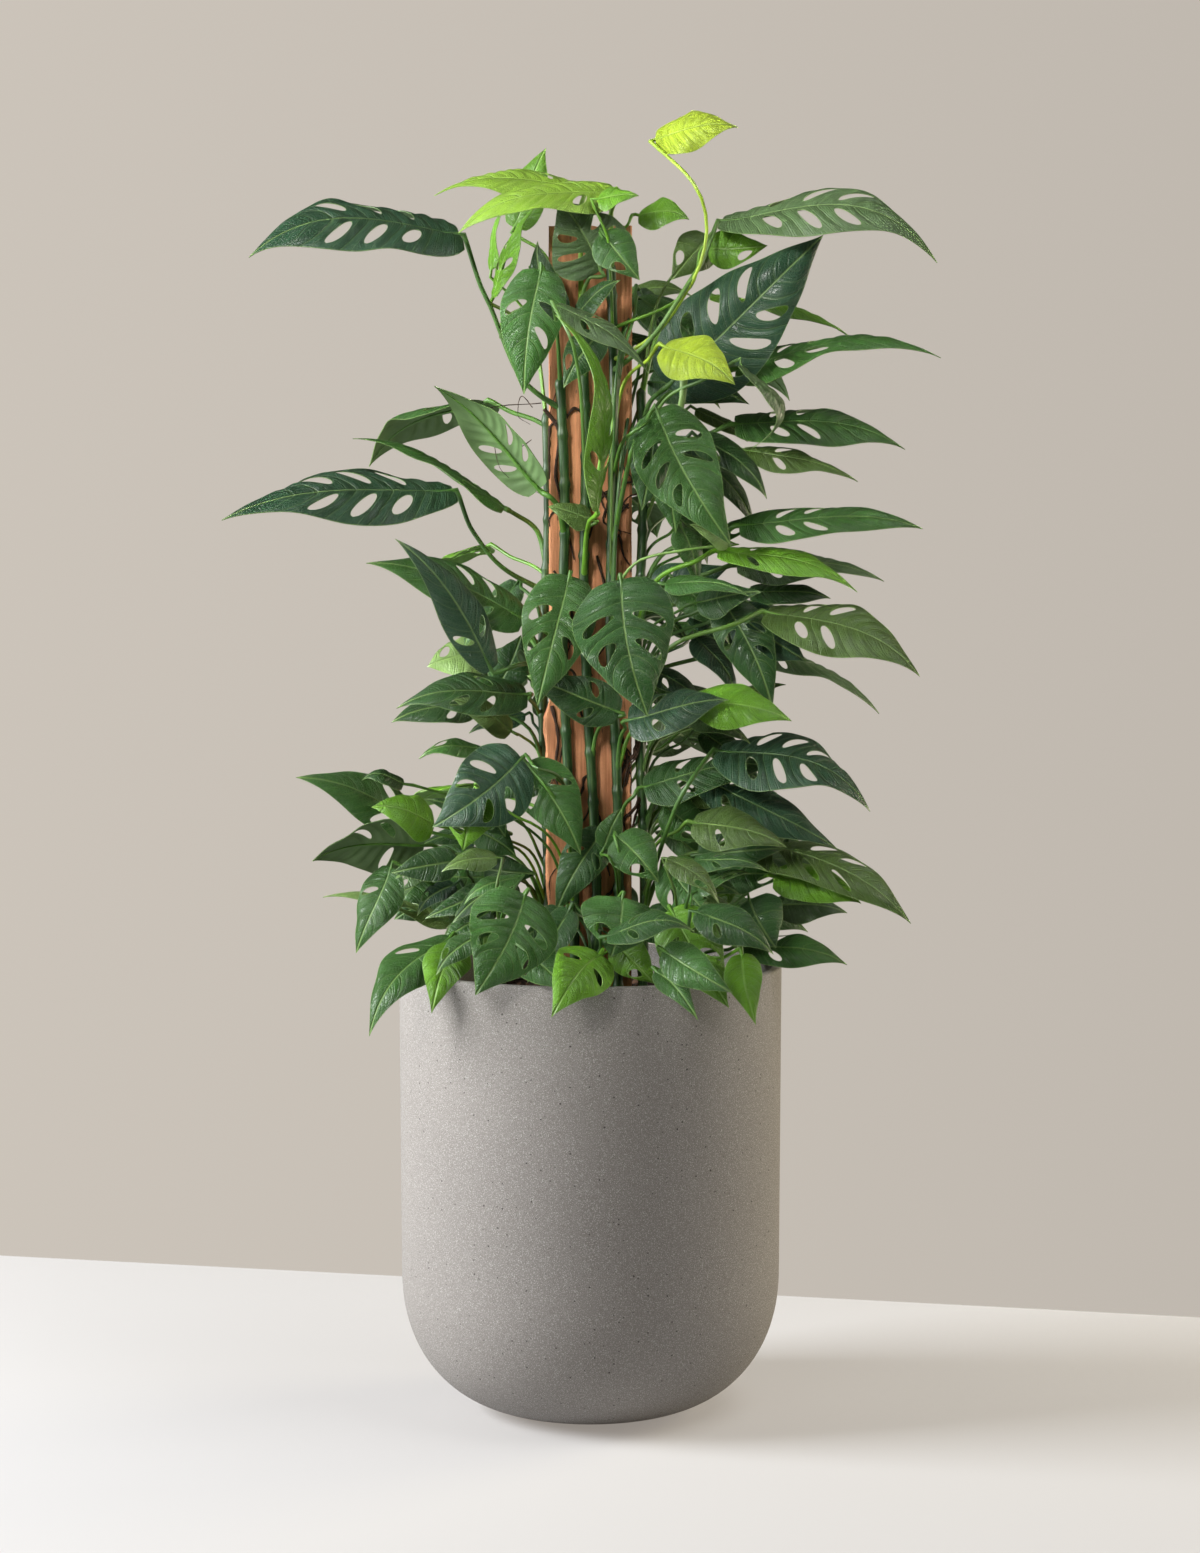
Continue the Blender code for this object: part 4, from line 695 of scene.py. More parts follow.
def place_blades(leaves: list[Leaf], crowd: Crowd, first: int = 0, most: float = math.inf) -> list[Blade]:
    """Blades in turn, each at the depth nearest its own where it clears those before it.

    Args:
        leaves: the leaves.
        crowd: what they keep clear of, which they join.
        first: the number of the first.
        most: a blade with more clashes than this is left out.

    Returns:
        The blades.
    """
    steps = sorted((k * DEPTH_STEP for k in range(-DEPTH_STEPS, DEPTH_STEPS + 1)), key=lambda v: (abs(v), v))
    blades = []
    for number, leaf in enumerate(leaves, first):
        best: tuple[int, Blade] | None = None
        for shift in steps:
            blade = Blade(leaf, number, shift)
            count = clashes(blade.samples(), crowd.points, BLADE_ROOM)
            if best is None or count < best[0]:
                best = (count, blade)
            if count == 0:
                break
        if best[0] <= most:
            blades.append(best[1])
            crowd.add(best[1].samples(), f"leaf {number}")
    return blades


# How many points a curve has from one given point to the next
SPLINE_STEPS = 16


def even(line: Array, count: int) -> Array:
    """count + 1 points along a line, evenly spaced by length.

    Args:
        line: the corners of the line.
        count: how many equal parts it is cut into.

    Returns:
        The points, ends included.
    """
    length = np.concatenate([[0], np.cumsum(np.linalg.norm(np.diff(line, axis=0), axis=1))])
    at = np.linspace(0, length[-1], count + 1)
    return np.stack([np.interp(at, length, line[:, k]) for k in range(3)], -1)


def spline(points: Array, count: int) -> Array:
    """Points on the curve through the given ones, whose slope at each is half the step past it.

    Args:
        points: what the curve goes through.
        count: how many equal parts it is cut into.

    Returns:
        The points, ends included.
    """
    points = np.asarray(points, float)
    ends = np.vstack([2 * points[0] - points[1], points, 2 * points[-1] - points[-2]])
    fine = []
    for i in range(len(points) - 1):
        a, b, c, d = ends[i : i + 4]
        u = np.linspace(0, 1, SPLINE_STEPS, endpoint=i == len(points) - 2)[:, None]
        fine.append(0.5 * (2 * b + (c - a) * u + (2 * a - 5 * b + 4 * c - d) * u**2
                           + (3 * b - 3 * c + d - a) * u**3))
    return even(np.vstack(fine), count)


def stalk_route(blade: Blade, drop: float, sway: float) -> list[Array]:
    """The stalk from the blade down to the stem, which it leaves upwards and outwards.

    Args:
        blade: the blade that it carries.
        drop: how far down the stem it starts, as a share of the usual.
        sway: how far its middle lies to the back, in metres.

    Returns:
        The corners of its way, through the places that the leaf gives or else along a bow.
    """
    leaf = blade.leaf
    start = blade.base
    lowest = SOIL_LEVEL + STALK_LOWEST
    highest = STEMS[leaf.stem].top * CM - STALK_HIGHEST
    away = np.linalg.norm(stem_axis(leaf.stem, start[2])[:2] - start[:2])
    height = start[2] - drop * (STALK_DROP + STALK_SLOPE * away)
    if leaf.route:
        height = leaf.route[-1][1] * CM - drop * STALK_DROP
    end = stem_axis(leaf.stem, np.clip(height, lowest, highest))
    if leaf.route:
        shares = np.linspace(0, 1, len(leaf.route) + 2)[1:-1]
        depths = (start[1] + (end[1] - start[1]) * shares + sway) / CM
        middle = [seen(x, z, y) for (x, z), y in zip(leaf.route, depths)]
        return [start, *middle, end]
    reach = end - start
    bow = BOW * np.linalg.norm(reach[:2])
    (out_1, rise_1), (out_2, rise_2) = NEAR_BLADE, NEAR_STEM
    near_blade = start + reach * (out_1, out_1, rise_1) + (0, sway, 0)
    near_stem = start + reach * (out_2, out_2, rise_2) + (0, sway, bow)
    return [start, near_blade, near_stem, end]


def stalk_corners(blade: Blade, route: list[Array]) -> Array:
    """The corners of a plain stalk: straight on from the midrib for a neck, then along the route."""
    neck = blade.base - NECK * blade.along
    return np.vstack([blade.base, neck, spline(route, STALK_PARTS[blade.size])[1:]])


def place_stalks(blades: list[Blade], crowd: Crowd) -> list[list[Array]]:
    """The route of each blade's stalk: the first drop and sway that keep it clear of all but its stem.

    Args:
        blades: the placed blades.
        crowd: what the stalks keep clear of, which they join.

    Returns:
        The corners of each stalk.
    """
    stalks = []
    at_blade, at_stem = STALK_ENDS
    for blade in blades:
        stem = blade.leaf.stem
        name = f"leaf {blade.number}"
        taken = crowd.without({name, stem, f"stalk {stem}"})
        own = crowd.points[crowd.owners == name]
        best: tuple[int, list[Array], Array] | None = None
        for drop in DROPS:
            for sway in SWAYS:
                route = stalk_route(blade, drop, sway)
                line = even(stalk_corners(blade, route), STALK_SAMPLES)
                count = clashes(line[:-at_stem], taken, STALK_ROOM)
                count += clashes(line[at_blade:], own, STALK_ROOM)
                if best is None or count < best[0]:
                    best = (count, route, line)
                if best[0] == 0:
                    break
            if best[0] == 0:
                break
        stalks.append(best[1])
        crowd.add(best[2], f"stalk {stem}")
    return stalks


@dataclass
class Surface:
    """A mesh in the making. A face has four corners, and a triangle repeats its last one."""

    points: Array
    faces: Array
    uv: Array
    values: dict[str, Array] = field(default_factory=dict)
    slots: Array | None = None

    def with_value(self, name: str, value: float | Array) -> "Surface":
        """Stores a number, or a row of numbers, for every point under a name.

        Args:
            name: the value's name in the mesh.
            value: one for all points, or one for each.

        Returns:
            The same surface.
        """
        value = np.asarray(value, float)
        if value.shape[:1] != (len(self.points),):
            value = np.broadcast_to(value, (len(self.points), *value.shape))
        self.values[name] = value
        return self


def merged(surfaces: list[Surface]) -> Surface:
    """One surface that holds all of them, side by side.

    Args:
        surfaces: the surfaces, with the same stored values.

    Returns:
        The one surface.
    """
    starts = np.cumsum([0] + [len(s.points) for s in surfaces[:-1]])
    slots = [np.zeros(len(s.faces), int) if s.slots is None else s.slots for s in surfaces]
    return Surface(
        np.concatenate([s.points for s in surfaces]),
        np.concatenate([s.faces + start for s, start in zip(surfaces, starts)]),
        np.concatenate([s.uv for s in surfaces]),
        {name: np.concatenate([s.values[name] for s in surfaces]) for name in surfaces[0].values},
        np.concatenate(slots),
    )


def grid_faces(rows: int, columns: int, wrap: bool = False) -> Array:
    """Faces of a grid of points that are numbered row by row.

    Args:
        rows: how many rows it has.
        columns: how many points a row has.
        wrap: whether the last column joins the first.

    Returns:
        Four corners for each face.
    """
    row = np.arange(rows - 1)[:, None] * columns
    left = np.arange(columns if wrap else columns - 1)[None]
    right = (left + 1) % columns
    return np.stack([row + left, row + right, row + columns + right, row + columns + left], -1).reshape(-1, 4)


def closed_grid(grid: Array, first: Array, last: Array,
                uv_scale: Pair = (1.0, 1.0)) -> Surface:
    """A closed surface from rings of points.

    Args:
        grid: rings by points by x, y and z, each ring going round the same way.
        first: the point that closes the first ring, by a fan of triangles.
        last: the point that closes the last ring.
        uv_scale: how far u runs round the rings and v runs along them.

    Returns:
        The surface, which faces outwards where the rings turn to the left as they go forward.
    """
    rows, columns = grid.shape[:2]
    faces = grid_faces(rows, columns, wrap=True)
    left = np.arange(columns)
    right = (left + 1) % columns
    start = rows * columns
    top = start - columns
    fan = np.stack([np.full(columns, start), right, left, left], -1)
    lid = np.stack([np.full(columns, start + 1), top + left, top + right, top + right], -1)
    u, v = np.meshgrid(np.arange(columns) / columns * uv_scale[0], np.linspace(0, uv_scale[1], rows))
    uv = np.concatenate([np.stack([u, v], -1).reshape(-1, 2), [[0.5, 0.0], [0.5, uv_scale[1]]]])
    points = np.concatenate([grid.reshape(-1, 3), [first, last]])
    return Surface(points, np.concatenate([faces, fan, lid]), uv)


def sweep(path: Array, radius: Array, sides: int) -> Surface:
    """A closed tube: round each point of the path lies a circle of its radius, square to the path.

    The circles start in the direction that is square to the plane nearest to the path, so they don't spin.

    Args:
        path: points along the middle.
        radius: the radius at each of them.
        sides: how many points a circle has.

    Returns:
        The tube, with u round it, v along it in metres, and its ends closed.
    """
    tangent = unit(np.gradient(path, axis=0))
    normal = np.linalg.svd(path - path.mean(axis=0), full_matrices=False)[2][-1]
    first = unit(normal - (tangent @ normal)[:, None] * tangent)
    second = np.cross(tangent, first)
    turn = TAU * np.arange(sides) / sides
    ring = first[:, None] * np.cos(turn)[:, None] + second[:, None] * np.sin(turn)[:, None]
    grid = path[:, None] + radius[:, None, None] * ring
    length = float(np.linalg.norm(np.diff(path, axis=0), axis=1).sum())
    return closed_grid(grid, path[0], path[-1], (1.0, length))


def turned(profile: Array, sides: int) -> Surface:
    """A closed solid of revolution: radius times cosine and sine of the turn, for each radius and height.

    Args:
        profile: rows of radius and height from the axis at the bottom, out, up and back to the axis.
        sides: how many steps a full turn has.

    Returns:
        The surface, without the profile's two points on the axis doubled.
    """
    turn = TAU * np.arange(sides) / sides
    r, z = profile[1:-1, 0:1], profile[1:-1, 1:2]
    grid = np.stack([r * np.cos(turn), r * np.sin(turn), np.broadcast_to(z, (len(z), sides))], -1)
    return closed_grid(grid, np.array([0, 0, profile[0, 1]]), np.array([0, 0, profile[-1, 1]]))


def smooth_noise(points: Array, scale: float, seed: int, octaves: int = 3) -> Array:
    """Soft random relief from -1 to 1: the mean of sines in random directions, finer and weaker each octave.

    Args:
        points: places in metres, with a last axis of x, y and z.
        scale: waves in a metre in the first octave.
        seed: the start of the random draw.
        octaves: how many times the waves double.

    Returns:
        One number for each place.
    """
    rng = np.random.default_rng(seed)
    total = np.zeros(points.shape[:-1])
    for octave in range(octaves):
        directions = unit(rng.normal(size=(5, 3))) * TAU * scale * 2**octave
        phases = rng.uniform(0, TAU, 5)
        total += np.sin(points @ directions.T + phases).mean(axis=-1) / 2**octave
    return total


# Edges that turn by more than this are sharp
SHARP = math.radians(50)


def build(name: str, surface: Surface, materials: list[Material],
          stands_for: tuple[str, ...] = ()) -> Piece:
    """Makes a surface into a piece of the object.

    Args:
        name: the piece's name.
        surface: its points, faces and values.
        materials: the materials of its slots.
        stands_for: the CAD nodes that it replaces.

    Returns:
        The piece, riding on the body.
    """
    mesh = bpy.data.meshes.new(name)
    triangle = surface.faces[:, 2] == surface.faces[:, 3]
    faces = surface.faces[~triangle].tolist() + surface.faces[triangle][:, :3].tolist()
    mesh.from_pydata(surface.points, [], faces)
    corners = np.empty(len(mesh.loops), np.int32)
    mesh.loops.foreach_get("vertex_index", corners)
    uv = mesh.uv_layers.new(name="UVMap")
    uv.uv.foreach_set("vector", surface.uv[corners].astype(np.float32).ravel())
    for key, value in surface.values.items():
        kind, what = ("FLOAT_COLOR", "color") if value.ndim == 2 else ("FLOAT", "value")
        stored = mesh.attributes.new(key, kind, "POINT")
        if value.ndim == 2:
            value = np.concatenate([value, np.ones((len(value), 1))], -1)
        stored.data.foreach_set(what, value.astype(np.float32).ravel())
    if surface.slots is not None:
        slots = np.concatenate([surface.slots[~triangle], surface.slots[triangle]]).astype(np.int32)
        mesh.polygons.foreach_set("material_index", slots)
    mesh.shade_smooth()
    mesh.set_sharp_from_angle(angle=SHARP)
    mesh.update()
    for material in materials:
        mesh.materials.append(material)
    piece = bpy.data.objects.new(name, mesh)
    bpy.context.scene.collection.objects.link(piece)
    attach(piece, "root")
    if stands_for:
        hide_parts(*stands_for)
    LOG.info("%s: %d faces", name, len(mesh.polygons))
    return piece


class Graph:
    """Adds the nodes of one material or node group and links them."""

    def __init__(self, tree: Tree) -> None:
        """Starts on the tree, which keeps its nodes."""
        self.tree = tree

    def node(self, kind: str, inputs: dict[str | int, object] | None = None,
             **settings: object) -> Node:
        """Adds a node.

        Args:
            kind: its type's name, without the leading ShaderNode.
            inputs: a socket to link from, or a value, for each input by name or number.
            settings: the node's own properties.

        Returns:
            The node.
        """
        made = self.tree.nodes.new(f"ShaderNode{kind}")
        for key, value in settings.items():
            setattr(made, key, value)
        for key, value in (inputs or {}).items():
            socket = made.inputs[key]
            if isinstance(value, Socket):
                self.tree.links.new(value, socket)
            else:
                socket.default_value = (*value, 1.0) if socket.type == "RGBA" else value
        return made

    def math(self, operation: str, a: Socket | float, b: Socket | float = 0.0) -> Socket:
        """A sum, product or other operation on two numbers."""
        return self.node("Math", {0: a, 1: b}, operation=operation).outputs[0]

    def smooth(self, value: Socket, low: float, high: float) -> Socket:
        """0 below low, 1 above high, and a smooth step between."""
        inputs = {"Value": value, "From Min": low, "From Max": high}
        return self.node("MapRange", inputs, interpolation_type="SMOOTHSTEP").outputs[0]

    def below(self, value: Socket, low: float, high: float) -> Socket:
        """1 below low, 0 above high, and a smooth step between."""
        return self.math("SUBTRACT", 1.0, self.smooth(value, low, high))

    def blend(self, share: Socket | float, a: Socket | Colour, b: Socket | Colour) -> Socket:
        """Two colours mixed: a where the share is 0, b where it is 1."""
        return self.node("Mix", {0: share, 6: a, 7: b}, data_type="RGBA").outputs[2]

    def laid(self, under: Socket, over: Socket | Colour, mask: Socket, share: float) -> Socket:
        """A colour laid over another where the mask is 1, at no more than a share."""
        return self.blend(self.math("MULTIPLY", mask, share), under, over)

    def stored(self, name: str, output: str = "Fac") -> Socket:
        """A value that the mesh stores."""
        return self.node("Attribute", attribute_name=name).outputs[output]

    def place(self, stretch: Triple = (1.0, 1.0, 1.0)) -> Socket:
        """The place on the object, stretched along its axes."""
        coordinates = self.node("TexCoord").outputs["Object"]
        return self.node("Mapping", {"Vector": coordinates, "Scale": stretch}).outputs[0]

    def noise(self, at: Socket, scale: float | Socket, detail: float = 3.0, rough: float = 0.55) -> Socket:
        """Soft noise from 0 to 1."""
        inputs = {"Vector": at, "Scale": scale, "Detail": detail, "Roughness": rough}
        return self.node("TexNoise", inputs).outputs["Fac"]

    def cells(self, at: Socket, scale: float, feature: str = "F1", output: str = "Distance") -> Socket:
        """Distance to the middle or the edge of random cells, or their colour."""
        return self.node("TexVoronoi", {"Vector": at, "Scale": scale}, feature=feature).outputs[output]

    def bump(self, height: Socket, strength: float, distance: float, below: Socket | None = None) -> Socket:
        """A normal bent by a height.

        Args:
            height: the relief, from 0 to 1.
            strength: how much of it shows.
            distance: how high 1 is, in metres.
            below: a normal that is bent already.

        Returns:
            The normal.
        """
        inputs = {"Height": height, "Strength": strength, "Distance": distance}
        if below is not None:
            inputs["Normal"] = below
        return self.node("Bump", inputs).outputs[0]


@dataclass(frozen=True)
class GroupPlan:
    """A node group's name and the names of what goes in and comes out, each with its kind and value."""

    name: str
    inputs: tuple[tuple[str, str, object], ...]
    outputs: tuple[tuple[str, str], ...]

    def start(self) -> tuple[Graph, dict[str, Socket], Node]:
        """Makes the group with its sockets.

        Returns:
            The group's graph, its inputs by name and the node that takes its outputs.
        """
        tree = bpy.data.node_groups.new(self.name, "ShaderNodeTree")
        for name, kind, value in self.inputs:
            socket = tree.interface.new_socket(name=name, in_out="INPUT", socket_type=f"NodeSocket{kind}")
            if value is not None:
                socket.default_value = value
        for name, kind in self.outputs:
            tree.interface.new_socket(name=name, in_out="OUTPUT", socket_type=f"NodeSocket{kind}")
        entry = tree.nodes.new("NodeGroupInput")
        leave = tree.nodes.new("NodeGroupOutput")
        return Graph(tree), {socket.name: socket for socket in entry.outputs if socket.name}, leave


def link_outputs(graph: Graph, leave: Node, sockets: dict[str, Socket]) -> Tree:
    """Links what a group puts out.

    Args:
        graph: the group's graph.
        leave: the node that takes its outputs.
        sockets: what it puts out, by name.

    Returns:
        The group.
    """
    for name, socket in sockets.items():
        graph.tree.links.new(socket, leave.inputs[name])
    return graph.tree


class Effects:
    """The node groups that several finishes share."""

    def __init__(self) -> None:
        """Builds each group once."""
        self.mottle = self.make_mottle()
        self.veins = self.make_veins()
        self.pits = self.make_pits()

    def make_mottle(self) -> Tree:
        """A colour times 1 plus 4 times the contrast times a broad noise about 0, and the noise itself.

        Returns:
            The group.
        """
        inputs = (("Colour", "Color", None), ("Vector", "Vector", None), ("Scale", "Float", 30.0),
                  ("Contrast", "Float", 0.3))
        graph, given, leave = GroupPlan("mottle", inputs, (("Colour", "Color"), ("Value", "Float"))).start()
        broad = graph.noise(given["Vector"], given["Scale"], 5.0, 0.6)
        centred = graph.math("SUBTRACT", broad, 0.5)
        swing = graph.math("MULTIPLY", centred, graph.math("MULTIPLY", given["Contrast"], 4.0))
        gain = graph.math("ADD", 1.0, swing)
        scaled = graph.node("VectorMath", {0: given["Colour"], "Scale": gain}, operation="SCALE").outputs[0]
        return link_outputs(graph, leave, {"Colour": scaled, "Value": broad})

    def make_veins(self) -> Tree:
        """Where a blade's veins lie, from its stored rank and its distances from the midrib and from an edge.

        Main veins lie where the rank is whole, second ones a quarter of a rank to each side of those, and
        eight fine ones in each rank. The network is the edges of random cells.

        Returns:
            The group.
        """
        inputs = (("Rank", "Float", 0.0), ("Middle", "Float", 0.0), ("Edge", "Float", 0.0),
                  ("Vector", "Vector", None))
        outputs = tuple((name, "Float") for name in ("Midrib", "Laterals", "Network", "Margin", "Height"))
        graph, given, leave = GroupPlan("leaf_veins", inputs, outputs).start()
        wander = graph.math("MULTIPLY", graph.math("SUBTRACT", graph.noise(given["Vector"], 60.0), 0.5), 0.10)
        rank = graph.math("ADD", given["Rank"], wander)
        near_first = graph.math("PINGPONG", rank, 0.5)
        near_second = graph.math("PINGPONG", graph.math("ADD", rank, 0.25), 0.25)
        near_third = graph.math("PINGPONG", graph.math("ADD", rank, 0.0625), 0.0625)
        first = graph.below(near_first, 0.008, 0.040)
        second = graph.math("MULTIPLY", graph.below(near_second, 0.004, 0.030), 0.6)
        third = graph.math("MULTIPLY", graph.below(near_third, 0.002, 0.022), 0.25)
        laterals = graph.math("MAXIMUM", first, graph.math("MAXIMUM", second, third))
        network = graph.below(graph.cells(given["Vector"], 330.0, "DISTANCE_TO_EDGE"), 0.02, 0.12)
        midrib = graph.below(given["Middle"], 0.0004, 0.0015)
        margin = graph.below(given["Edge"], 0.0002, 0.0009)
        sunk = graph.math("ADD", graph.math("MULTIPLY", laterals, 0.7), graph.math("MULTIPLY", network, 0.25))
        height = graph.math("SUBTRACT", 1.0, graph.math("MAXIMUM", sunk, midrib))
        return link_outputs(graph, leave, {"Midrib": midrib, "Laterals": laterals, "Network": network,
                                           "Margin": margin, "Height": height})

    def make_pits(self) -> Tree:
        """Sparse small pits of uneven size, as a mask: cells whose middle is nearer than their random size.

        Returns:
            The group.
        """
        inputs = (("Vector", "Vector", None), ("Scale", "Float", 90.0), ("Size", "Float", 0.6))
        graph, given, leave = GroupPlan("pits", inputs, (("Mask", "Float"),)).start()
        cell = graph.node("TexVoronoi", {"Vector": given["Vector"], "Scale": given["Scale"]})
        chosen = graph.node("SeparateColor", {0: cell.outputs["Color"]}).outputs[0]
        size = graph.math("MULTIPLY", graph.math("SUBTRACT", chosen, 0.6), given["Size"])
        closeness = graph.math("SUBTRACT", size, cell.outputs["Distance"])
        return link_outputs(graph, leave, {"Mask": graph.smooth(closeness, 0.0, 0.05)})


class Coat(Graph):
    """A material in the making: its nodes and its shader."""

    def __init__(self, name: str, roughness: float, specular: float) -> None:
        """Makes the material with its shader.

        Args:
            name: the material's name.
            roughness: the shader's roughness, which a link may replace.
            specular: its specular level.
        """
        self.material = bpy.data.materials.new(name)
        self.material.use_nodes = True
        super().__init__(self.material.node_tree)
        self.shader = self.tree.nodes["Principled BSDF"]
        self.shader.inputs["Roughness"].default_value = roughness
        self.shader.inputs["Specular IOR Level"].default_value = specular

    def effect(self, group: Tree, inputs: dict[str | int, object]) -> dict[str, Socket]:
        """Places a shared effect and gives its outputs by name."""
        made = self.node("Group", inputs, node_tree=group)
        return {socket.name: socket for socket in made.outputs}

    def finished(self, inputs: dict[str, Socket]) -> Material:
        """Links the finished colour, normal and what else varies to the shader.

        Args:
            inputs: the sockets, by the shader's names for them.

        Returns:
            The material.
        """
        for name, socket in inputs.items():
            self.tree.links.new(socket, self.shader.inputs[name])
        return self.material


@dataclass(frozen=True)
class Mottle:
    """How patchy a colour is: its patches in a metre, and how much they differ."""

    scale: float
    contrast: float

    def over(self, coat: Coat, effects: Effects, colour: Socket | Colour,
             at: Socket) -> tuple[Socket, Socket]:
        """The colour in patches, and the patches as a value."""
        made = coat.effect(effects.mottle, {"Colour": colour, "Vector": at, "Scale": self.scale,
                                            "Contrast": self.contrast})
        return made["Colour"], made["Value"]


@dataclass(frozen=True)
class Pits:
    """How pitted a surface is: pits in a metre, their size in their room, and the painted shade in them as a
    colour and its share.
    """

    scale: float
    size: float
    shade: Colour
    share: float

    def over(self, coat: Coat, effects: Effects, colour: Socket, at: Socket) -> tuple[Socket, Socket]:
        """The colour with the pits' painted shade in it, and the pits as a mask."""
        mask = coat.effect(effects.pits, {"Vector": at, "Scale": self.scale, "Size": self.size})["Mask"]
        return coat.laid(colour, self.shade, mask, self.share), mask


@dataclass(frozen=True)
class Clay:
    """Warm grey cast stone: fine pale and dark grains, sparse pits dark with painted shade, and faint cloudy
    patches.
    """

    colour: Colour = (0.262, 0.241, 0.222)
    clouds: Mottle = Mottle(6.0, 0.05)
    grain_scale: float = 1250.0
    pale: Colour = (0.70, 0.68, 0.65)
    pale_range: Pair = (0.54, 0.64)
    pale_share: float = 0.62
    dark: Colour = (0.150, 0.135, 0.124)
    dark_range: Pair = (0.30, 0.46)
    dark_share: float = 0.40
    # The pits' near-black colour is painted shade
    pits: Pits = Pits(230.0, 0.58, (0.045, 0.038, 0.034), 0.85)
    relief: float = 0.0006

    def make(self, effects: Effects) -> Material:
        """Pale grains where a fine noise is high, dark ones where it is low, and the pits sunk below them and
        dark with painted shade.

        Args:
            effects: the shared node groups.

        Returns:
            The material.
        """
        coat = Coat("clay", 0.78, 0.35)
        at = coat.place()
        colour, _ = self.clouds.over(coat, effects, self.colour, at)
        sand = coat.noise(at, self.grain_scale, 2.0, 0.7)
        colour = coat.laid(colour, self.pale, coat.smooth(sand, *self.pale_range), self.pale_share)
        colour = coat.laid(colour, self.dark, coat.below(sand, *self.dark_range), self.dark_share)
        colour, pits = self.pits.over(coat, effects, colour, at)
        grainy = coat.bump(sand, 0.35, self.relief)
        pitted = coat.bump(coat.math("SUBTRACT", 1.0, pits), 0.6, self.relief, grainy)
        return coat.finished({"Base Color": colour, "Normal": pitted})


@dataclass(frozen=True)
class Earth:
    """Moist bark soil: near black, with brown crumbs and pale fibres."""

    dark: Colour = (0.010, 0.007, 0.005)
    brown: Colour = (0.060, 0.038, 0.024)
    crumb_scale: float = 380.0
    fibre_scale: float = 900.0
    patches: Mottle = Mottle(40.0, 0.4)
    relief: float = 0.0020

    def make(self, effects: Effects) -> Material:
        """Each crumb is a random cell of its own shade, and finer noise roughens it.

        Args:
            effects: the shared node groups.

        Returns:
            The material.
        """
        coat = Coat("earth", 0.93, 0.25)
        at = coat.place()
        crumbs = coat.cells(at, self.crumb_scale, "F1", "Color")
        shade = coat.node("SeparateColor", {0: crumbs}).outputs[0]
        colour, _ = self.patches.over(coat, effects, coat.blend(shade, self.dark, self.brown), at)
        rough = coat.math("ADD", coat.cells(at, self.crumb_scale), coat.noise(at, self.fibre_scale, 4.0))
        return coat.finished({"Base Color": colour, "Normal": coat.bump(rough, 0.8, self.relief)})


@dataclass(frozen=True)
class Bark:
    """Bark chips: brown to dark, each of its own shade, with a fine layered grain."""

    dark: Colour = (0.022, 0.013, 0.008)
    brown: Colour = (0.120, 0.062, 0.034)
    grain: Mottle = Mottle(260.0, 0.45)
    layers: Triple = (1.0, 1.0, 3.0)
    relief: float = 0.0010

    def make(self, effects: Effects) -> Material:
        """The chip's stored shade picks its colour, and the grain is finer upwards.

        Args:
            effects: the shared node groups.

        Returns:
            The material.
        """
        coat = Coat("bark", 0.88, 0.3)
        colour = coat.blend(coat.stored("shade"), self.dark, self.brown)
        colour, grain = self.grain.over(coat, effects, colour, coat.place(self.layers))
        return coat.finished({"Base Color": colour, "Normal": coat.bump(grain, 0.7, self.relief)})


@dataclass(frozen=True)
class Wood:
    """Rough-sawn red-brown wood: streaks along the grain, splits and pits dark with painted shade, and damp
    stains.
    """

    dark: Colour = (0.420, 0.165, 0.072)
    light: Colour = (0.760, 0.350, 0.175)
    streak_scale: float = 260.0
    streak_range: Pair = (0.30, 0.72)
    stains: Mottle = Mottle(22.0, 0.30)
    # The splits' near-black colour is painted shade
    split: Colour = (0.040, 0.018, 0.011)
    split_scale: float = 420.0
    split_range: Pair = (0.26, 0.36)
    split_share: float = 0.75
    # The pits' dark colour is painted shade
    pits: Pits = Pits(170.0, 0.8, (0.060, 0.028, 0.016), 0.6)
    # How short the patterns are up the board, as a share of their width, so that they run long
    streak_run: float = 0.05
    stain_run: float = 0.4
    split_run: float = 0.03
    pit_run: float = 0.35

    def make(self, effects: Effects) -> Material:
        """Each pattern is a noise drawn out up the board, and splits, dark with painted shade, lie where one
        of them is low.

        Args:
            effects: the shared node groups.

        Returns:
            The material.
        """
        coat = Coat("wood", 0.82, 0.3)
        streaks = coat.noise(coat.place((1.0, 1.0, self.streak_run)), self.streak_scale, 5.0, 0.65)
        colour = coat.blend(coat.smooth(streaks, *self.streak_range), self.dark, self.light)
        colour, _ = self.stains.over(coat, effects, colour, coat.place((1.0, 1.0, self.stain_run)))
        fibres = coat.noise(coat.place((1.0, 1.0, self.split_run)), self.split_scale, 4.0, 0.7)
        splits = coat.below(fibres, *self.split_range)
        colour = coat.laid(colour, self.split, splits, self.split_share)
        colour, _ = self.pits.over(coat, effects, colour, coat.place((1.0, 1.0, self.pit_run)))
        height = coat.math("SUBTRACT", streaks, coat.math("MULTIPLY", splits, 0.6))
        grain = coat.bump(height, 0.8, 0.0012)
        rough = coat.bump(coat.noise(coat.place(), 700.0, 4.0), 0.5, 0.0006, grain)
        return coat.finished({"Base Color": colour, "Normal": rough})


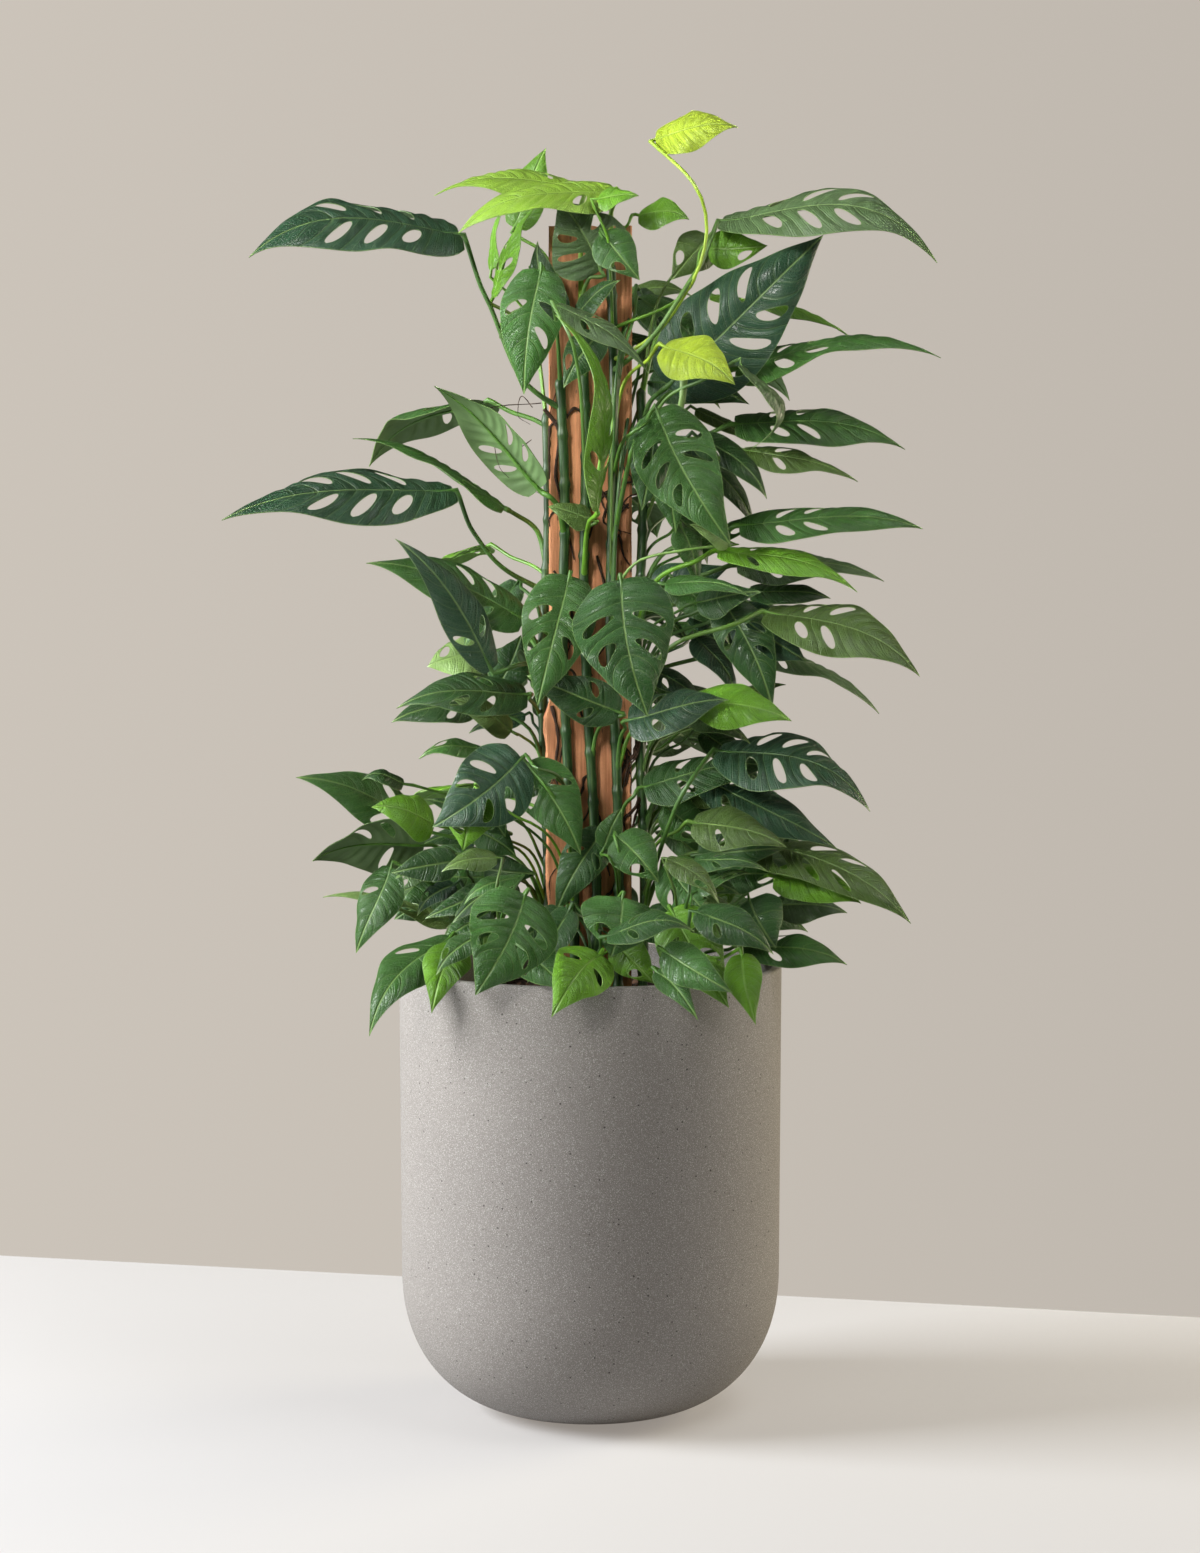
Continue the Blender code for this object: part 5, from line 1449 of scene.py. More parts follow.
@dataclass(frozen=True)
class LeafSide:
    """One side of a blade: its own green, mottled, with pale veins and edge, raised between the veins.

    The upper side is satin. The under side is washed with pale green, duller, and its veins stand out.
    """

    name: str
    wash: float = 0.0
    wash_colour: Colour = (0.200, 0.290, 0.130)
    pale: Colour = (0.34, 0.50, 0.16)
    vein: float = 1.0
    vein_shares: tuple[tuple[str, float], ...] = (
        ("Network", 0.06), ("Laterals", 0.26), ("Midrib", 0.80), ("Margin", 0.70),
    )
    patches: Mottle = Mottle(38.0, 0.28)
    roughness: float = 0.31
    roughness_swing: float = 0.22
    roughness_drop: float = 0.08
    specular: float = 0.36
    relief: float = 0.80
    relief_height: float = 0.0016

    def make(self, effects: Effects) -> Material:
        """The stored tint is washed and mottled, and each kind of vein lays its share of pale over it.

        Args:
            effects: the shared node groups.

        Returns:
            The material.
        """
        coat = Coat(self.name, self.roughness, self.specular)
        at = coat.place()
        tint = coat.stored("tint", "Color")
        colour, patches = self.patches.over(coat, effects, coat.blend(self.wash, tint, self.wash_colour), at)
        veins = coat.effect(effects.veins, {"Rank": coat.stored("rank"), "Middle": coat.stored("middle"),
                                            "Edge": coat.stored("edge"), "Vector": at})
        pale = coat.blend(0.45, tint, self.pale)
        for kind, share in self.vein_shares:
            colour = coat.laid(colour, pale, veins[kind], share * self.vein)
        swing = coat.math("MULTIPLY", patches, self.roughness_swing)
        roughness = coat.math("ADD", self.roughness - self.roughness_drop, swing)
        fine = coat.bump(coat.noise(at, 1400.0, 2.0), 0.12, 0.0003)
        normal = coat.bump(veins["Height"], self.relief, self.relief_height, fine)
        return coat.finished({"Base Color": colour, "Roughness": roughness, "Normal": normal})


@dataclass(frozen=True)
class StalkSkin:
    """Stalk and stem skin: green with fine paler streaks along it."""

    pale: Colour = (0.190, 0.300, 0.085)
    patches: Mottle = Mottle(60.0, 0.35)
    streak_stretch: Triple = (9.0, 14.0, 1.0)
    streak_range: Pair = (0.45, 0.75)
    streak_share: float = 0.35
    relief: float = 0.0006

    def make(self, effects: Effects) -> Material:
        """The stored tint in patches, with streaks by a noise on the tube's own u and v.

        Args:
            effects: the shared node groups.

        Returns:
            The material.
        """
        coat = Coat("stalk", 0.42, 0.5)
        round_it = coat.node("UVMap").outputs[0]
        drawn_out = coat.node("Mapping", {"Vector": round_it, "Scale": self.streak_stretch}).outputs[0]
        streaks = coat.noise(drawn_out, 1.6, 3.0)
        colour, _ = self.patches.over(coat, effects, coat.stored("tint", "Color"), coat.place())
        colour = coat.laid(colour, self.pale, coat.smooth(streaks, *self.streak_range), self.streak_share)
        return coat.finished({"Base Color": colour, "Normal": coat.bump(streaks, 0.3, self.relief)})


@dataclass(frozen=True)
class RootSkin:
    """Root skin: dark brown and rough, with paler flakes."""

    colour: Colour = (0.045, 0.024, 0.014)
    flakes: Mottle = Mottle(240.0, 0.5)
    relief: float = 0.0008

    def make(self, effects: Effects) -> Material:
        """The brown in strong fine patches, which also raise the skin.

        Args:
            effects: the shared node groups.

        Returns:
            The material.
        """
        coat = Coat("root", 0.85, 0.3)
        colour, flakes = self.flakes.over(coat, effects, self.colour, coat.place())
        return coat.finished({"Base Color": colour, "Normal": coat.bump(flakes, 0.7, self.relief)})


class Finishes:
    """The object's materials, each made once."""

    def __init__(self) -> None:
        """Builds the shared effects, then every material."""
        effects = Effects()
        self.clay = Clay().make(effects)
        self.earth = Earth().make(effects)
        self.bark = Bark().make(effects)
        self.wood = Wood().make(effects)
        self.leaf_upper = LeafSide("leaf_upper").make(effects)
        under = LeafSide("leaf_under", wash=0.42, vein=0.75, roughness=0.62, specular=0.4, relief=-0.7)
        self.leaf_under = under.make(effects)
        self.stalk = StalkSkin().make(effects)
        self.root = RootSkin().make(effects)


@dataclass(frozen=True)
class BladeCraft:
    """How the fine blades are made: holed cells between the ribs, raised between the veins."""

    thickness: float = 0.0007
    quilt: float = 0.044
    steps_along: int = 8
    steps_across: int = 10
    rings: int = 4
    rib_curve: float = 1.5
    ripple: float = 0.026
    ripples: float = 3.4
    ripple_step: float = 0.31
    ripple_lag: float = 1.2
    # Where the quilting fades out, in metres from an edge and from the midrib
    edge_fade: float = 0.008
    middle_fade: float = 0.006
    # A hole's half width, half length and middle in its cell, how both vary and how egg-shaped it is
    hole_along: float = 0.21
    hole_across: float = 0.31
    hole_middle: float = 0.52
    hole_vary: float = 0.12
    hole_steps: Pair = (3.1, 1.7)
    hole_egg: float = 0.18
    # The distance to a hole that is stored where there is none
    far: float = 0.05
    # How blades differ in lightness, broadly and finely, and the steps of both from blade to blade
    shades: Pair = (0.14, 0.06)
    shade_steps: Pair = (2.7, 7.9)

    def rib(self, size: Size, index: int, v: Array) -> Array:
        """Places along the blade of a rib, at v from the midrib to the edge. Rib 0 is the rear edge.

        A rib runs from its place on the midrib to that on the edge by v to the power rib_curve.

        Args:
            size: the blade's size, which gives its ribs.
            index: the rib's number.
            v: 0 at the midrib, 1 at the edge.

        Returns:
            The places, from 0 at the stalk to 1 at the tip.
        """
        ribs = RIBS[size]
        if index == 0:
            return FIRST[size] * v**2
        if index > len(ribs):
            return np.ones_like(v)
        middle, margin = ribs[index - 1]
        return middle + (margin - middle) * v**self.rib_curve

    def plain_cell(self, blade: Blade, index: int) -> tuple[Array, Array, Array, Array, Array]:
        """A cell as a plain grid: along it s runs in a straight line from its near rib to its far one.

        Args:
            blade: the blade it is on.
            index: the number of its near rib.

        Returns:
            Its places s and v, its rank, how far each is from a hole, and its faces.
        """
        u, v = np.meshgrid(np.linspace(0, 1, self.steps_along + 1), np.linspace(0, 1, self.steps_across + 1))
        s = (1 - u) * self.rib(blade.size, index, v) + u * self.rib(blade.size, index + 1, v)
        faces = grid_faces(*u.shape)
        return s.ravel(), v.ravel(), index + u.ravel(), np.full(u.size, self.far), faces

    def holed_cell(self, blade: Blade, index: int, side: int) -> tuple[Array, Array, Array, Array, Array]:
        """A cell as rings from an egg-shaped hole out to its border.

        The hole's point at an angle is its middle plus its half width times the cosine, and its half length
        times the sine, wider towards the edge. Rings lie in equal steps between it and the border.

        Args:
            blade: the blade it is on.
            index: the number of its near rib.
            side: the side of the midrib, 1 or -1, which varies the hole.

        Returns:
            Its places s and v, its rank, how far each is from the hole, and its faces.
        """
        nu, nv = self.steps_along, self.steps_across
        along = np.arange(nu) / nu
        across = np.arange(nv) / nv
        u = np.concatenate([along, np.ones(nv), 1 - along, np.zeros(nv)])
        v = np.concatenate([np.zeros(nu), across, np.ones(nu), 1 - across])
        by_blade, by_cell = self.hole_steps
        vary = math.sin(by_blade * blade.number + by_cell * index + side)
        wide = self.hole_along * (1 + self.hole_vary * vary)
        long = self.hole_across * (1 - self.hole_vary * vary)
        angle = np.arctan2((v - self.hole_middle) / long, (u - 0.5) / wide)
        hole_u = 0.5 + wide * np.cos(angle) * (1 + self.hole_egg * np.sin(angle))
        hole_v = self.hole_middle + long * np.sin(angle)
        ends = RIBS[blade.size] + (SMALL_CELL_END,)
        (near, near_edge), (far, far_edge) = ends[index - 1], ends[index]
        bent = hole_v**self.rib_curve
        hole_s = (1 - hole_u) * (near + (near_edge - near) * bent) + hole_u * (far + (far_edge - far) * bent)
        border_s = (1 - u) * self.rib(blade.size, index, v) + u * self.rib(blade.size, index + 1, v)
        share = np.linspace(0, 1, self.rings + 1)[:, None]
        s = hole_s + (border_s - hole_s) * share
        t = hole_v + (v - hole_v) * share
        rank = index + hole_u + (u - hole_u) * share
        apart = share * np.hypot((border_s - hole_s) * blade.length, (v - hole_v) * blade.half)
        faces = grid_faces(self.rings + 1, len(u), wrap=True)
        return s.ravel(), t.ravel(), rank.ravel(), apart.ravel(), faces

    def layout(self, blade: Blade) -> tuple[Array, Array, Array, Array, Array]:
        """All cells of a blade, welded where they meet, which is where their s and t agree to a millionth.

        Args:
            blade: the blade.

        Returns:
            The places s and t, the rank, the distance from a hole, and the faces, which turn clockwise in s
            and t and so face the blade's upper side.
        """
        holes = set(HOLE_ORDER[blade.size][: blade.leaf.holes])
        parts = []
        start = 0
        for side in (1, -1):
            for index in range(len(RIBS[blade.size]) + 1):
                if (side, index) in holes:
                    s, v, rank, apart, faces = self.holed_cell(blade, index, side)
                else:
                    s, v, rank, apart, faces = self.plain_cell(blade, index)
                parts.append((s, v * side + 0.0, rank, apart, faces + start))
                start += len(s)
        s, t, rank, apart, faces = (np.concatenate(column) for column in zip(*parts))
        t = np.where(s > 1 - 1e-9, 0.0, t)
        key = np.round(s * 1e6).astype(np.int64) * 4_000_000 + np.round((t + 1) * 1e6).astype(np.int64)
        _, kept, place = np.unique(key, return_index=True, return_inverse=True)
        faces = place[faces]
        s, t, rank, apart = s[kept], t[kept], rank[kept], apart[kept]
        for k in range(4):
            double = faces[:, k] == faces[:, (k + 1) % 4]
            faces[double] = np.roll(faces[double], 2 - k, axis=1)
        first, second, third = faces[:, 0], faces[:, 1], faces[:, 2]
        faces = faces[(first != second) & (second != third) & (first != third)]
        x, y = s[faces], t[faces]
        area = (x * np.roll(y, -1, axis=1) - y * np.roll(x, -1, axis=1)).sum(axis=1)
        quads = faces[:, 2] != faces[:, 3]
        wrong = area > 0
        faces[wrong & quads] = faces[wrong & quads][:, ::-1]
        faces[wrong & ~quads] = faces[wrong & ~quads][:, [1, 0, 2, 3]]
        return s, t, rank, apart, faces

    def surface(self, blade: Blade) -> Surface:
        """A closed blade: an upper face, the same points lower down as the under face, and a wall round them.

        Between the veins the blade is raised by a squared sine of the rank, less its mean, which fades at the
        edges. Its edges ripple by the cube of the distance from the midrib times a sine along the blade. Both
        are shares of the blade's half width.

        Args:
            blade: the blade.

        Returns:
            The surface, with the under face in the second material slot.
        """
        s, t, rank, apart, faces = self.layout(blade)
        margin = blade.half * outline(s) * (1 - np.abs(t))
        edge = np.minimum(margin, apart)
        middle = blade.half * outline(s) * np.abs(t)
        fade = np.clip(edge / self.edge_fade, 0, 1) * np.clip(middle / self.middle_fade, 0, 1)
        raised = self.quilt * (np.sin(TAU * rank) ** 2 - 0.5) * fade
        phase = TAU * (self.ripples * s + self.ripple_step * blade.number) + self.ripple_lag * np.sign(t)
        raised = raised + self.ripple * np.abs(t) ** 3 * np.sin(phase) * np.sin(math.pi * s)
        raised = raised * blade.half
        normals = blade.normals(s, t)
        centre = blade.points(s, t) + normals * raised[:, None]
        lift = normals * self.thickness / 2
        count = len(s)
        corners = np.roll(faces, -1, axis=1)
        here, there = faces.ravel(), corners.ravel()
        real = here != there
        here, there = here[real], there[real]
        open_edge = ~np.isin(here * count + there, there * count + here)
        here, there = here[open_edge], there[open_edge]
        walls = np.stack([there, here, here + count, there + count], -1)
        quads = faces[:, 2] != faces[:, 3]
        under = np.where(quads[:, None], faces[:, ::-1], faces[:, [1, 0, 2, 3]]) + count
        uv = np.stack([s, (t + 1) / 2], -1)
        made = Surface(
            np.concatenate([centre + lift, centre - lift]),
            np.concatenate([faces, under, walls]),
            np.concatenate([uv, uv]),
            slots=np.repeat([0, 1, 0], [len(faces), len(faces), len(walls)]),
        )
        broad, fine = (math.sin(step * blade.number) for step in self.shade_steps)
        vary = 1 + self.shades[0] * broad + self.shades[1] * fine
        made.with_value("rank", np.concatenate([rank, rank]))
        made.with_value("edge", np.concatenate([edge, edge]))
        made.with_value("middle", np.concatenate([middle, middle]))
        made.with_value("tint", np.array(blade.leaf.tone.value) * vary)
        return made


@dataclass(frozen=True)
class StalkCraft:
    """How the leaf stalks are made: thick at the stem, a swollen joint at the blade, and on as its midrib."""

    sides: int = 10
    steps: int = 20
    rib_steps: int = 12
    sheath: float = 0.55
    sheath_length: float = 0.022
    joint: float = 0.28
    joint_length: float = 0.006
    joint_place: float = 0.008
    # How thick the midrib ends and how deep it lies below the blade, as shares of the stalk's radius, the
    # part of the blade that it runs along, and the part over which it sinks in
    thin_end: float = 0.16
    sunk: float = 0.75
    rib_part: Pair = (0.02, 0.95)
    sinks_in: float = 0.10
    # How far below the blade's base the tube bends, in metres, and how much fresher than the blade it is
    bend: float = 0.001
    fresh: float = 0.36

    def surface(self, blade: Blade, route: list[Array]) -> Surface:
        """One stalk with its midrib.

        The radius is the stalk's own times 1 plus a falling exponential from the stem and a bell at the
        joint, and along the midrib it falls in a straight line to its thin end.

        Args:
            blade: the blade that it carries.
            route: the corners of its way from the blade to the stem.

        Returns:
            The tube, from the stem to near the blade's tip.
        """
        size = STALK_RADIUS[blade.size]
        coarse = spline(route, 8)[2:]
        neck = blade.base - NECK * blade.along
        outward = spline(np.vstack([blade.base - self.bend * blade.along, neck, coarse]), self.steps)[::-1]
        s = np.linspace(*self.rib_part, self.rib_steps)
        below = np.clip(s / self.sinks_in, 0, 1) * self.sunk * size * (1 - s * (1 - self.thin_end))
        rib = blade.points(s, np.zeros_like(s)) - blade.normals(s, np.zeros_like(s)) * below[:, None]
        path = np.vstack([outward, rib])
        length = np.concatenate([[0], np.cumsum(np.linalg.norm(np.diff(outward, axis=0), axis=1))])
        thick = 1 + self.sheath * np.exp(-length / self.sheath_length)
        from_joint = length[-1] - self.joint_place - length
        thick = thick + self.joint * np.exp(-((from_joint / self.joint_length) ** 2))
        radius = size * np.concatenate([thick, 1 - s * (1 - self.thin_end)])
        made = sweep(path, radius, self.sides)
        own = np.array(blade.leaf.tone.value)
        return made.with_value("tint", np.array(FRESH.value) * self.fresh + own * (1 - self.fresh))


@dataclass(frozen=True)
class StemCraft:
    """How the stems are made: round, with a swollen ringed node every few centimetres and a blunt tip."""

    sides: int = 20
    spacing: float = 0.046
    swelling: float = 0.20
    swelling_length: float = 0.0030
    groove: float = 0.07
    groove_place: float = 2.4
    step: float = 0.0022
    # How blunt the tip is, as the smallest share of the radius, squared, and how much darker than the deep
    # green the stem is
    blunt: float = 0.05
    dark: float = 0.85

    def surface(self, name: str) -> Surface:
        """A stem, with a radius of 1 plus a bell at each node, less a fainter bell beside it, times its own.

        Args:
            name: the stem.

        Returns:
            The tube.
        """
        plan = STEMS[name]
        top = plan.top * CM
        low = SOIL_LEVEL - STEM_DEPTH
        z = np.linspace(low, top, max(40, round((top - low) / self.step)))
        corners = stem_corners(name)
        knots = spline(corners, 200)
        x, y = (np.interp(z, knots[:, 2], knots[:, k]) for k in (0, 1))
        offset = (z - low + CM * len(name)) % self.spacing - self.spacing / 2
        ring = np.exp(-((offset / self.swelling_length) ** 2))
        beside = np.exp(-(((offset - self.groove_place * self.swelling_length) / self.swelling_length) ** 2))
        tip = np.sqrt(np.clip((top - z) / STEM_RADIUS + self.blunt, self.blunt, 1))
        radius = STEM_RADIUS * (1 + self.swelling * ring - self.groove * beside) * tip
        made = sweep(np.stack([x, y, z], -1), radius, self.sides)
        return made.with_value("tint", np.array(DEEP.value) * self.dark)


@dataclass(frozen=True)
class Plant:
    """All the leafy stems, each as a piece of blades and a piece of stalks with its stem."""

    blade_craft: BladeCraft = BladeCraft()
    small_craft: BladeCraft = BladeCraft(steps_along=5, steps_across=7, rings=3)
    stalk_craft: StalkCraft = StalkCraft()
    small_stalk_craft: StalkCraft = StalkCraft(sides=8, steps=14, rib_steps=8, fresh=0.12)
    stem_craft: StemCraft = StemCraft()

    def build(self, finishes: Finishes) -> None:
        """Places every leaf, then builds each leafy stem.

        Args:
            finishes: the object's materials.
        """
        leaves = [*FRONT_LEAVES, *MIDDLE_LEAVES, *TOP_LEAVES, *LOWER_LEAVES, *back_leaves()]
        crowd = Crowd()
        crowd.add(fixtures(), "fixtures")
        for name, plan in STEMS.items():
            crowd.add(stem_axis(name, np.arange(SOIL_LEVEL, plan.top * CM, STEM_SAMPLE)), name)
        blades = place_blades(leaves, crowd)
        routes = place_stalks(blades, crowd)
        for name in STEMS:
            own = [(blade, route) for blade, route in zip(blades, routes) if blade.leaf.stem == name]
            green = merged([self.blade_craft.surface(blade) for blade, _ in own])
            build(f"{name}_blades", green, [finishes.leaf_upper, finishes.leaf_under], (name,))
            stalks = [self.stalk_craft.surface(blade, route) for blade, route in own]
            stalks.append(self.stem_craft.surface(name))
            build(f"{name}_stalks", merged(stalks), [finishes.stalk], (name,))
        rng = np.random.default_rng(SEED)
        filling = [leaf for thicket in THICKETS for leaf in thicket.leaves(rng)]
        small = place_blades(filling, crowd, len(leaves), 0)
        green = merged([self.small_craft.surface(blade) for blade in small])
        build("inner_blades", green, [finishes.leaf_upper, finishes.leaf_under])
        routes = place_stalks(small, crowd)
        stalks = [self.small_stalk_craft.surface(blade, route) for blade, route in zip(small, routes)]
        build("inner_stalks", merged(stalks), [finishes.stalk])


@dataclass(frozen=True)
class Planter:
    """The planter: a round bottom up to a shoulder, a slight flare to the rim, a round lip, an even wall."""

    height: float = POT_HEIGHT
    rim: float = RIM_RADIUS
    shoulder_height: float = 0.135
    shoulder: float = 0.1785
    base: float = 0.063
    wall: float = WALL
    floor: float = 0.012
    lip: float = 0.0026
    bowl_power: float = 2.3
    # The height inside where the wall ends and the floor starts
    inner_low: float = 0.060
    sides: int = 192

    def outer(self, z: Array) -> Array:
        """The outer radius at height z.

        Below the shoulder it is the base's radius plus the rest times the root of 1 less the depth to the
        bowl's power, the depth being 0 at the shoulder and 1 at the base. Above, it grows in a straight line.

        Args:
            z: the heights.

        Returns:
            The radii.
        """
        down = np.clip(1 - z / self.shoulder_height, 0, 1)
        bowl = self.base + (self.shoulder - self.base) * np.sqrt(1 - down**self.bowl_power)
        share = (z - self.shoulder_height) / (self.height - self.shoulder_height)
        straight = self.shoulder + (self.rim - self.shoulder) * share
        return np.where(z < self.shoulder_height, bowl, straight)

    def profile(self) -> Array:
        """Rows of radius and height from the bottom's middle, out, up, over the lip and down inside.

        Returns:
            The rows, with quarter circles at the lip.
        """
        low = self.shoulder_height * (1 - np.cos(np.linspace(0, math.pi / 2, 40))) ** 1.4
        high = np.linspace(self.shoulder_height, self.height - self.lip, 26)[1:]
        outside = np.concatenate([low, high])
        turn = np.linspace(0, math.pi / 2, 7)[1:]
        over = np.stack([self.rim - self.lip + self.lip * np.cos(turn),
                         self.height - self.lip + self.lip * np.sin(turn)], -1)
        inner_rim = self.rim - self.wall
        back = np.stack([inner_rim + self.lip - self.lip * np.sin(turn),
                         self.height - self.lip + self.lip * np.cos(turn)], -1)
        start = np.array([[inner_rim + self.lip, self.height]])
        down = np.linspace(self.height - self.lip, self.inner_low, 22)[1:]
        inside = np.stack([self.outer(down) - self.wall, down], -1)
        walls = np.stack([self.outer(outside), outside], -1)
        foot = [[0, 0], [self.base * 0.5, 0]]
        floor = [[self.base, self.floor], [self.base * 0.5, self.floor], [0, self.floor]]
        return np.vstack([foot, walls, over, start, back, inside, floor])

    def build(self, finishes: Finishes) -> None:
        """Turns the profile into the planter."""
        body = turned(self.profile(), self.sides)
        build("planter_body", body, [finishes.clay], ("planter",))


@dataclass(frozen=True)
class Soil:
    """Dark bark soil: an uneven top that dips to the wall, with loose chips of bark on it."""

    level: float = SOIL_LEVEL
    gap: float = 0.0006
    radius: float = RIM_RADIUS - WALL - gap
    depth: float = 0.045
    rings: int = 70
    sides: int = 200
    # How high the slow swells and the crumbs are, how many lie in a metre, and how near the wall they fade
    swell: float = 0.0045
    crumb: float = 0.0022
    swells: float = 11
    crumbs: float = 90
    fade: float = 0.012
    # The chips: how many, half their length, width and height, how these vary, and the largest half length
    chips: int = 520
    chip: Triple = (0.0052, 0.0034, 0.0016)
    chip_spread: float = 0.35
    largest: float = 0.009
    knobbly: Pair = (0.72, 1.28)
    tilt: float = 0.35
    from_wall: float = 0.010

    def height(self, x: Array, y: Array) -> Array:
        """The level plus slow swells and crumbs of random relief, which fade at the wall.

        Args:
            x: places across.
            y: places in depth.

        Returns:
            The heights.
        """
        places = np.stack([x, y, np.zeros_like(x)], -1)
        inside = np.clip((self.radius - np.hypot(x, y)) / self.fade, 0, 1)
        swells = self.swell * smooth_noise(places, self.swells, SEED)
        crumbs = self.crumb * smooth_noise(places, self.crumbs, SEED + 1, 2)
        return self.level + (swells + crumbs) * inside

    def ground(self) -> Surface:
        """The soil itself: rings of the uneven top, a straight side and a flat bottom.

        Returns:
            The closed surface.
        """
        turn = TAU * np.arange(self.sides) / self.sides
        radii = np.linspace(self.radius, self.radius / self.rings, self.rings)[:, None]
        x, y = radii * np.cos(turn), radii * np.sin(turn)
        top = np.stack([x, y, self.height(x, y)], -1)
        narrow = self.radius - self.gap
        bottom = self.level - self.depth
        low = np.stack([narrow * np.cos(turn), narrow * np.sin(turn), np.full(self.sides, bottom)], -1)
        grid = np.concatenate([0.5 * low[None] * (1, 1, 2), low[None], top])
        centre = np.array([0, 0, float(self.height(np.zeros(1), np.zeros(1))[0])])
        return closed_grid(grid, np.array([0, 0, bottom]), centre)

    def bark(self) -> Surface:
        """Chips of bark: flat knobbly balls of random size, turned at random, half sunk in the soil.

        One ball has three rings of six points and two ends. Its copies are scaled, tilted by a normal draw,
        spun by an even one and moved to a random place on the soil, all as one array.

        Returns:
            The chips, with a stored shade each.
        """
        rng = np.random.default_rng(SEED + 2)
        reach = self.radius - self.from_wall
        place = rng.uniform(-reach, reach, (self.chips * 2, 2))
        place = place[np.hypot(place[:, 0], place[:, 1]) < reach][: self.chips]
        count = len(place)
        turn = TAU * np.arange(6) / 6
        rise = np.array([-0.55, 0.0, 0.55])[:, None]
        wide = np.array([0.75, 1.0, 0.75])[:, None]
        ball = np.stack([wide * np.cos(turn), wide * np.sin(turn), np.broadcast_to(rise, (3, 6))], -1)
        one = closed_grid(ball, np.array([0, 0, -0.8]), np.array([0, 0, 0.8]))
        shape = one.points * rng.uniform(*self.knobbly, (count, len(one.points), 1))
        size = rng.lognormal(0, self.chip_spread, (count, 1)) * np.array([self.chip])
        shape = shape * np.minimum(size, self.largest)[:, None]
        spin, tilt = rng.uniform(0, TAU, count), rng.normal(0, self.tilt, count)
        c, s, ct, st = np.cos(spin), np.sin(spin), np.cos(tilt), np.sin(tilt)
        turn_matrix = np.stack([np.stack([c * ct, -s, c * st], -1), np.stack([s * ct, c, s * st], -1),
                                np.stack([-st, np.zeros(count), ct], -1)], 1)
        shape = np.einsum("nij,nkj->nki", turn_matrix, shape)
        ground = self.height(place[:, 0], place[:, 1]) + self.gap
        shape = shape + np.column_stack([place, ground])[:, None]
        starts = np.arange(count)[:, None, None] * len(one.points)
        faces = (one.faces[None] + starts).reshape(-1, 4)
        shade = np.repeat(rng.uniform(0, 1, count), len(one.points))
        made = Surface(shape.reshape(-1, 3), faces, np.tile(one.uv, (count, 1)))
        return made.with_value("shade", shade)

    def build(self, finishes: Finishes) -> None:
        """Builds the soil and its bark."""
        build("soil_ground", self.ground(), [finishes.earth], ("soil",))
        build("soil_bark", self.bark(), [finishes.bark])


